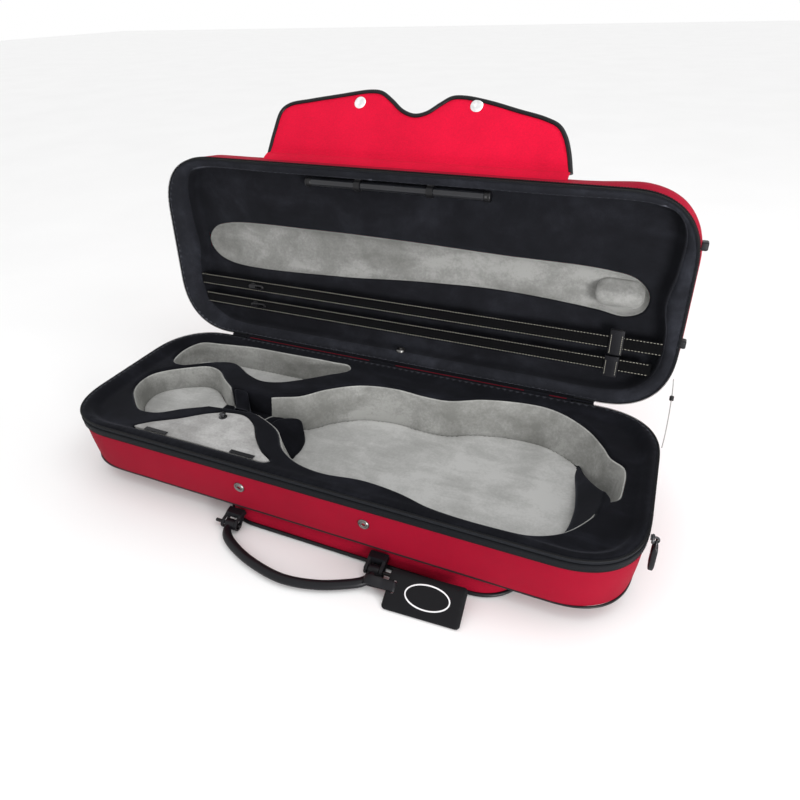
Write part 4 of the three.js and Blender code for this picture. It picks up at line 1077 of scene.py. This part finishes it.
def build_bow_tray():
    deepest = LID_RIM_Z + 37.1
    steps = ((0.3, 29.6), (0.8, 29.9), (1.6, 31.2), (3.0, 33.2), (5.2, 35.2), (8.2, 36.6), (11.5, 37.1))
    rings = [at_height(offset(BOW, inset), LID_RIM_Z + h) for inset, h in steps]
    for ring in rings:
        ring[:, 2] += ripple(ring, 22, 0.5, 9)
    plan = rings[-1][:, :2]

    def floor(points):
        soft = ripple(at_height(points, deepest), 22, 0.5, 9)
        return deepest + soft - 0.5 * ease(distance_to(points, plan), 0, 12)

    tray = Piece().loft(rings, flip=True).sheet(plan, 6, floor, flip=True)
    # The tray takes the darker suede copy: painted shade.
    tray.build("bow_tray_suede", shaded_lid_suede, "lid", "bow_tray", sharp=75)
    loop = resample(rounded_plan(30.5, 17, 15, 2.1, 8), 100) + np.array([312.5, -6.5])

    def crown(points):
        """How far the cushion stands out of the recess, higher at its lower side."""
        return 5.0 + 13.5 * ease(points[:, 1], -22, -8) + 1.8 * ease(distance_to(points, loop), 0, 9)

    def out_of_recess(points):
        return open_lid(np.array(points, float) * (-1, 1, -1) + (2 * 312, 0, LID_RIM_Z + 37.0))

    cushion("bow_pillow_suede", loop, crown, 0.0, 4.2, shaded_lid_suede, "lid", "bow_pillow", 2.5, 0.9,
            place=out_of_recess, slot="pale_suede")


def build_straps():
    near = LID_RIM_Z + 8
    section = np.array([(-9.4, 0.0), (-9.0, -0.75), (-7.2, -0.95), (0, -0.85), (7.2, -0.95), (9.0, -0.75),
                        (9.4, 0.0), (9.0, 0.75), (0, 0.9), (-9.0, 0.75)])
    for name, y, left, right, sleeve in (("upper", 54.5, -357, 375, (318, 36, 71)),
                                         ("lower", 86.6, -352, 366, (316, 74, 104))):
        xs = np.linspace(left, right, 110)
        middle = near + 0.8 + 0.7 * np.sin((xs - left) / (right - left) * math.pi)
        strap = Piece().loft([upright(section, x, y, z) for x, z in zip(xs, middle)],
                             first=True, last=True, flip=True)
        strap.build(f"strap_{name}_web", strap_web, "lid", f"strap_{name}")
        lines = [np.column_stack([xs, np.full(len(xs), y + dy), middle - 0.98]) for dy in (-7.7, 7.7)]
        stitches(lines, 4.2, 2.3, 0.34).build(f"strap_{name}_stitches", pale_thread, "lid", weld=False)
        build_sleeve(name, *sleeve, near + 0.8)
        build_spinner(name, y, near)


def build_sleeve(name, x, y0, y1, middle):
    """A leather sleeve that holds the bow's tip, stitched down both sides."""
    front, back = middle - 3.4, middle + 2.2
    section = [(-9, back), (-9.3, middle), (-8.8, front + 0.5), (-7.5, front), (0, front - 0.45),
               (7.5, front), (8.8, front + 0.5), (9.3, middle), (9, back), (0, back)]
    rings = [[(x + dx, y, z) for dx, z in section] for y in np.linspace(y0, y1, 12)]
    Piece().loft(rings, first=True, last=True).build(f"strap_sleeve_{name}", black_leather, "lid",
                                                      f"strap_loop_{name}", sharp=50, slot="black_webbing")
    lines = [[(x + dx, y, front - 0.15) for y in (y0 + 5.5, y1 - 1.5)] for dx in (-6.9, 6.9)]
    stitches(lines, 3.0, 2.0, 0.3).build(f"strap_sleeve_{name}_stitches", pale_thread, "lid", weld=False)


def build_spinner(name, y, near):
    """A bow holder: a round base and a paddle that turns on it."""
    body, part = f"spinner_{name}", f"bow_spinner_{name}"
    place = put((-252, y, near), AXES, open_lid)
    base = turned([(0, -3.2), (4.4, -3.2), (5.3, -2.6), (5.6, -1.4), (5.4, -0.5), (4.6, -0.35)], 30)
    base.build(f"{part}_base", black_plastic, body, part, place, sharp=50)
    plan = resample(rounded_plan(14.5, 4.6, 4.4, 2.0, 8), 60) + np.array([7, 0])
    hole = resample(rounded_plan(6.0, 1.9, 1.8, 2.0, 8), 36)[::-1] + np.array([11.5, 0])
    back, front = -3.0, -5.4
    rings = [at_height(offset(plan, inset), z)
             for inset, z in ((0.5, back), (0.0, -3.5), (0.0, -4.6), (0.7, -5.3), (1.1, front))]
    paddle = Piece().loft(rings, flip=True).sheet(rings[-1][:, :2], 3, front, [hole], flip=True)
    paddle.sheet(rings[0][:, :2], 3, back, [hole]).loft([at_height(hole, back), at_height(hole, front)])
    paddle.build(f"{part}_paddle", glossy_black, body, place=place, sharp=50)


def build_string_tube():
    y, z = -120.5, LID_RIM_Z + 10
    wall = [(5.3, -128), (6.3, -128), (6.4, -127.4), (6.4, 127.4), (6.3, 128), (5.3, 128), (5.2, 127),
            (5.2, -127), (5.3, -128)]
    turned(wall, 32).build("string_tube_clear", clear_tube, "string_tube", "string_tube",
                           put((0, y, z), ALONG_X, open_lid))
    ribs = [(0, 0), (6.2, 0), (7.0, 0.7), (7.2, 1.6), (6.9, 2.2), (7.2, 2.8), (6.9, 3.4), (7.2, 4.0),
            (6.9, 4.6), (7.2, 5.4), (7.2, 8.0), (6.6, 8.9), (0, 9.0)]
    angles = np.radians(np.linspace(20, 340, 40))
    arc = np.column_stack([np.cos(angles), np.sin(angles)])
    band = np.vstack([8.3 * arc, 6.8 * arc[::-1]])
    for side, sign in (("left", -1), ("right", 1)):
        place = put((sign * 128.2, y, z), ((0, 1, 0), (0, 0, sign), (sign, 0, 0)), open_lid)
        turned(ribs, 32).build(f"tube_cap_{side}_plastic", black_plastic, "string_tube",
                               f"tube_cap_{side}", place)
        x = sign * 54
        clip = Piece().loft([upright(band, x + dx, y, z) for dx in (-4.5, -4.0, 4.0, 4.5)],
                            first=True, last=True)
        clip.box((x - 4.4, y - 9.1, z - 2.8), (x + 4.4, y - 6.9, z + 2.8), 0.4)
        clip.build(f"tube_clip_{side}_plastic", black_plastic, "lid", f"tube_clip_{side}", sharp=50)


def build_lid_trim():
    ring = [(0.0, 1.2), (1.6, 1.2), (2.2, 3.0), (3.6, 3.6), (4.8, 3.0), (6.2, 3.4), (7.1, 2.0),
            (7.2, 0.0)][::-1]
    place = put((7, 126.6, LID_RIM_Z + 12), ((1, 0, 0), (0, 0, 1), (0, -1, 0)), open_lid)
    turned(ring, 40).build("lid_snap_metal", nickel, "lid", "lid_snap", place)
    wall, z = LENGTH / 2 + 0.2, LID_RIM_Z + 14.2
    plan = resample(rounded_plan(5.3, 6.2, 2.2, 2.4, 6), 40)
    for name, y in (("front", -84), ("back", 44)):
        rings = [upright(offset(plan, inset), wall + out, y, z)
                 for out, inset in ((-1.5, 0.0), (3.8, 0.0), (5.2, 0.5), (5.9, 1.5))]
        Piece().loft(rings, last=True).build(f"lid_keeper_{name}_leather", black_leather, "lid",
                                             f"lid_keeper_{name}", sharp=50)


# ---- Flap --------------------------------------------------------------------------------------


def build_flap():
    knots = [(229, 2.5), (222, 29), (213, 51), (202, 65), (182, 74), (146, 83), (103, 94), (66, 100),
             (48, 98.5), (33, 89), (15, 76), (-2, 72), (-21, 78), (-41, 93), (-59, 104), (-78, 106),
             (-126, 99), (-175, 90), (-210, 81.5), (-222, 70), (-227, 37), (-229, 2.5)]
    top = smooth_path(knots, 8)
    outline = resample(counter_clockwise(np.vstack([top, straight(top[-1], top[0], 90)])), 360)
    inner = offset(outline, 1.2)
    angle = math.pi - math.radians(32)
    c, s = math.cos(angle), math.sin(angle)

    def unfold(up, through):
        """Heights up and through the flap, as y and z of the shut lid."""
        return -146.2 + up * c - through * s, 156.1 + up * s + through * c

    def place(p):
        """Local x runs along the case, y up the flap from its hinge; the outer face is at -z."""
        return open_lid(np.column_stack([p[:, 0], *unfold(p[:, 1], p[:, 2])]))

    def middle(p):
        return (1.6 * np.sin(p[:, 0] / 74.0) * ease(p[:, 1], 10, 110)
                + 1.2 * np.cos(p[:, 0] / 41.0 + 0.7) * ease(p[:, 1], 30, 120)) - 1.8

    def inner_face(p):
        return middle(p) + (0.35 + 1.2 * ease(distance_to(p, outline), 0, 14))

    def outer_face(p):
        return middle(p) - (0.35 + 1.2 * ease(distance_to(p, outline), 0, 14))

    panel = Piece().sheet(inner, 6, inner_face).sheet(inner, 6, outer_face, flip=True)
    panel.loft([at_height(inner, outer_face(inner)), at_height(inner, inner_face(inner))])
    # The flap's cloth is the brightest copy of the red cloth: painted light.
    panel.build("flap_cloth", lit_red_flap_cloth, "flap", "flap", place, sharp=60)
    path = smooth_path(knots, 10)
    ahead = unit(np.gradient(path, axis=0))
    inwards = np.column_stack([-ahead[:, 1], ahead[:, 0]])
    edge, seam = path + 1.6 * inwards, path + 1.6 * inwards + 4.1 * inwards
    tube(at_height(edge, middle(edge)), circle(3.1, 14)).build(
        "flap_edge_piping", piping_leather, "flap", "flap_piping", place)

    root = [(-141.6, 139), (-144.4, 144), (-146.8, 148.5), (-148.5, 152.6), (-149.0, 155.6)]
    root += [unfold(reach, lift) for reach, lift in ((4, -0.5), (9, -1.1), (14, -1.6))]
    route = smooth_path(root, 5)
    ahead = unit(np.gradient(route, axis=0))
    normal = 0.6 * np.column_stack([ahead[:, 1], -ahead[:, 0]])
    section = np.vstack([route - normal, (route + normal)[::-1]])
    strip = Piece().loft([upright(section, x) for x in np.linspace(-227, 227, 90)], first=True, last=True)
    strip = strip.build("flap_root_cloth", lit_red_flap_cloth, place=open_lid, sharp=60)
    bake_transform(strip)

    stitches([at_height(seam, middle(seam) + 1.45)[10:-10]], 3.4, 2.4, 0.3).build(
        "flap_stitches", lit_red_flap_cloth, "flap", place=place, weld=False)
    ring = [(0.0, 0.9), (1.4, 0.9), (2.0, 1.3), (6.6, 1.75), (8.0, 1.5), (8.9, 0.8), (9.0, 0.0)][::-1]
    for side, x in SNAPS_X.items():
        y = 87.0
        z = float(inner_face(np.array([[x, y]]))[0]) - 0.3
        turned(ring, 40).build(f"flap_snap_{side}_metal", white_snap, "flap", f"flap_snap_{side}",
                               put((x, y, z), AXES, place))


# ---- Stage -------------------------------------------------------------------------------------


def build_stage():
    look = Look("floor_paper", 0.9, **{"Specular IOR Level": 0.1})
    look.finish(look.ramp(look.noise(3, 2), [(0.3, (0.90, 0.90, 0.90)), (0.7, (0.92, 0.92, 0.92))]))
    mesh = bpy.data.meshes.new("floor")
    size, drop = 14.0, -0.0005
    mesh.from_pydata([(-size, -size, drop), (size, -size, drop), (size, size, drop), (-size, size, drop)],
                     [], [(0, 1, 2, 3)])
    mesh.materials.append(look.material)
    in_scene("floor", mesh)
    world = bpy.data.worlds.new("studio")
    world.use_nodes = True
    sky = world.node_tree.nodes["Background"]
    sky.inputs["Color"].default_value = (1, 1, 1, 1)
    sky.inputs["Strength"].default_value = 1.0
    bpy.context.scene.world = world
    for name, spot, aim, size, power in (("key", (0.9, -0.1, 1.8), (0.05, 0.05, 0.1), 1.0, 7),
                                         ("right", (1.5, -1.3, 0.28), (0.36, -0.1, 0.06), 0.6, 34)):
        data = bpy.data.lights.new(name, "AREA")
        data.energy, data.size = power, size
        facing = (Vector(aim) - Vector(spot)).to_track_quat("-Z", "Y")
        in_scene(name, data).matrix_world = Matrix.Translation(spot) @ facing.to_matrix().to_4x4()
    bpy.context.scene.view_settings.view_transform = "Standard"


make_camera()
build_stay()
build_base_cover()
build_rim("base")
build_rim("lid")
build_piping()
build_pocket()
build_insert()
for tray in TRAYS:
    build_tray(tray)
build_pads()
build_accessory_lid()
build_snaps()
build_handle()
build_tag()
build_slider()
build_hinge_tape()
build_lid_cover()
build_lid_liner()
build_bow_tray()
build_straps()
build_string_tube()
build_lid_trim()
build_flap()
build_stage()
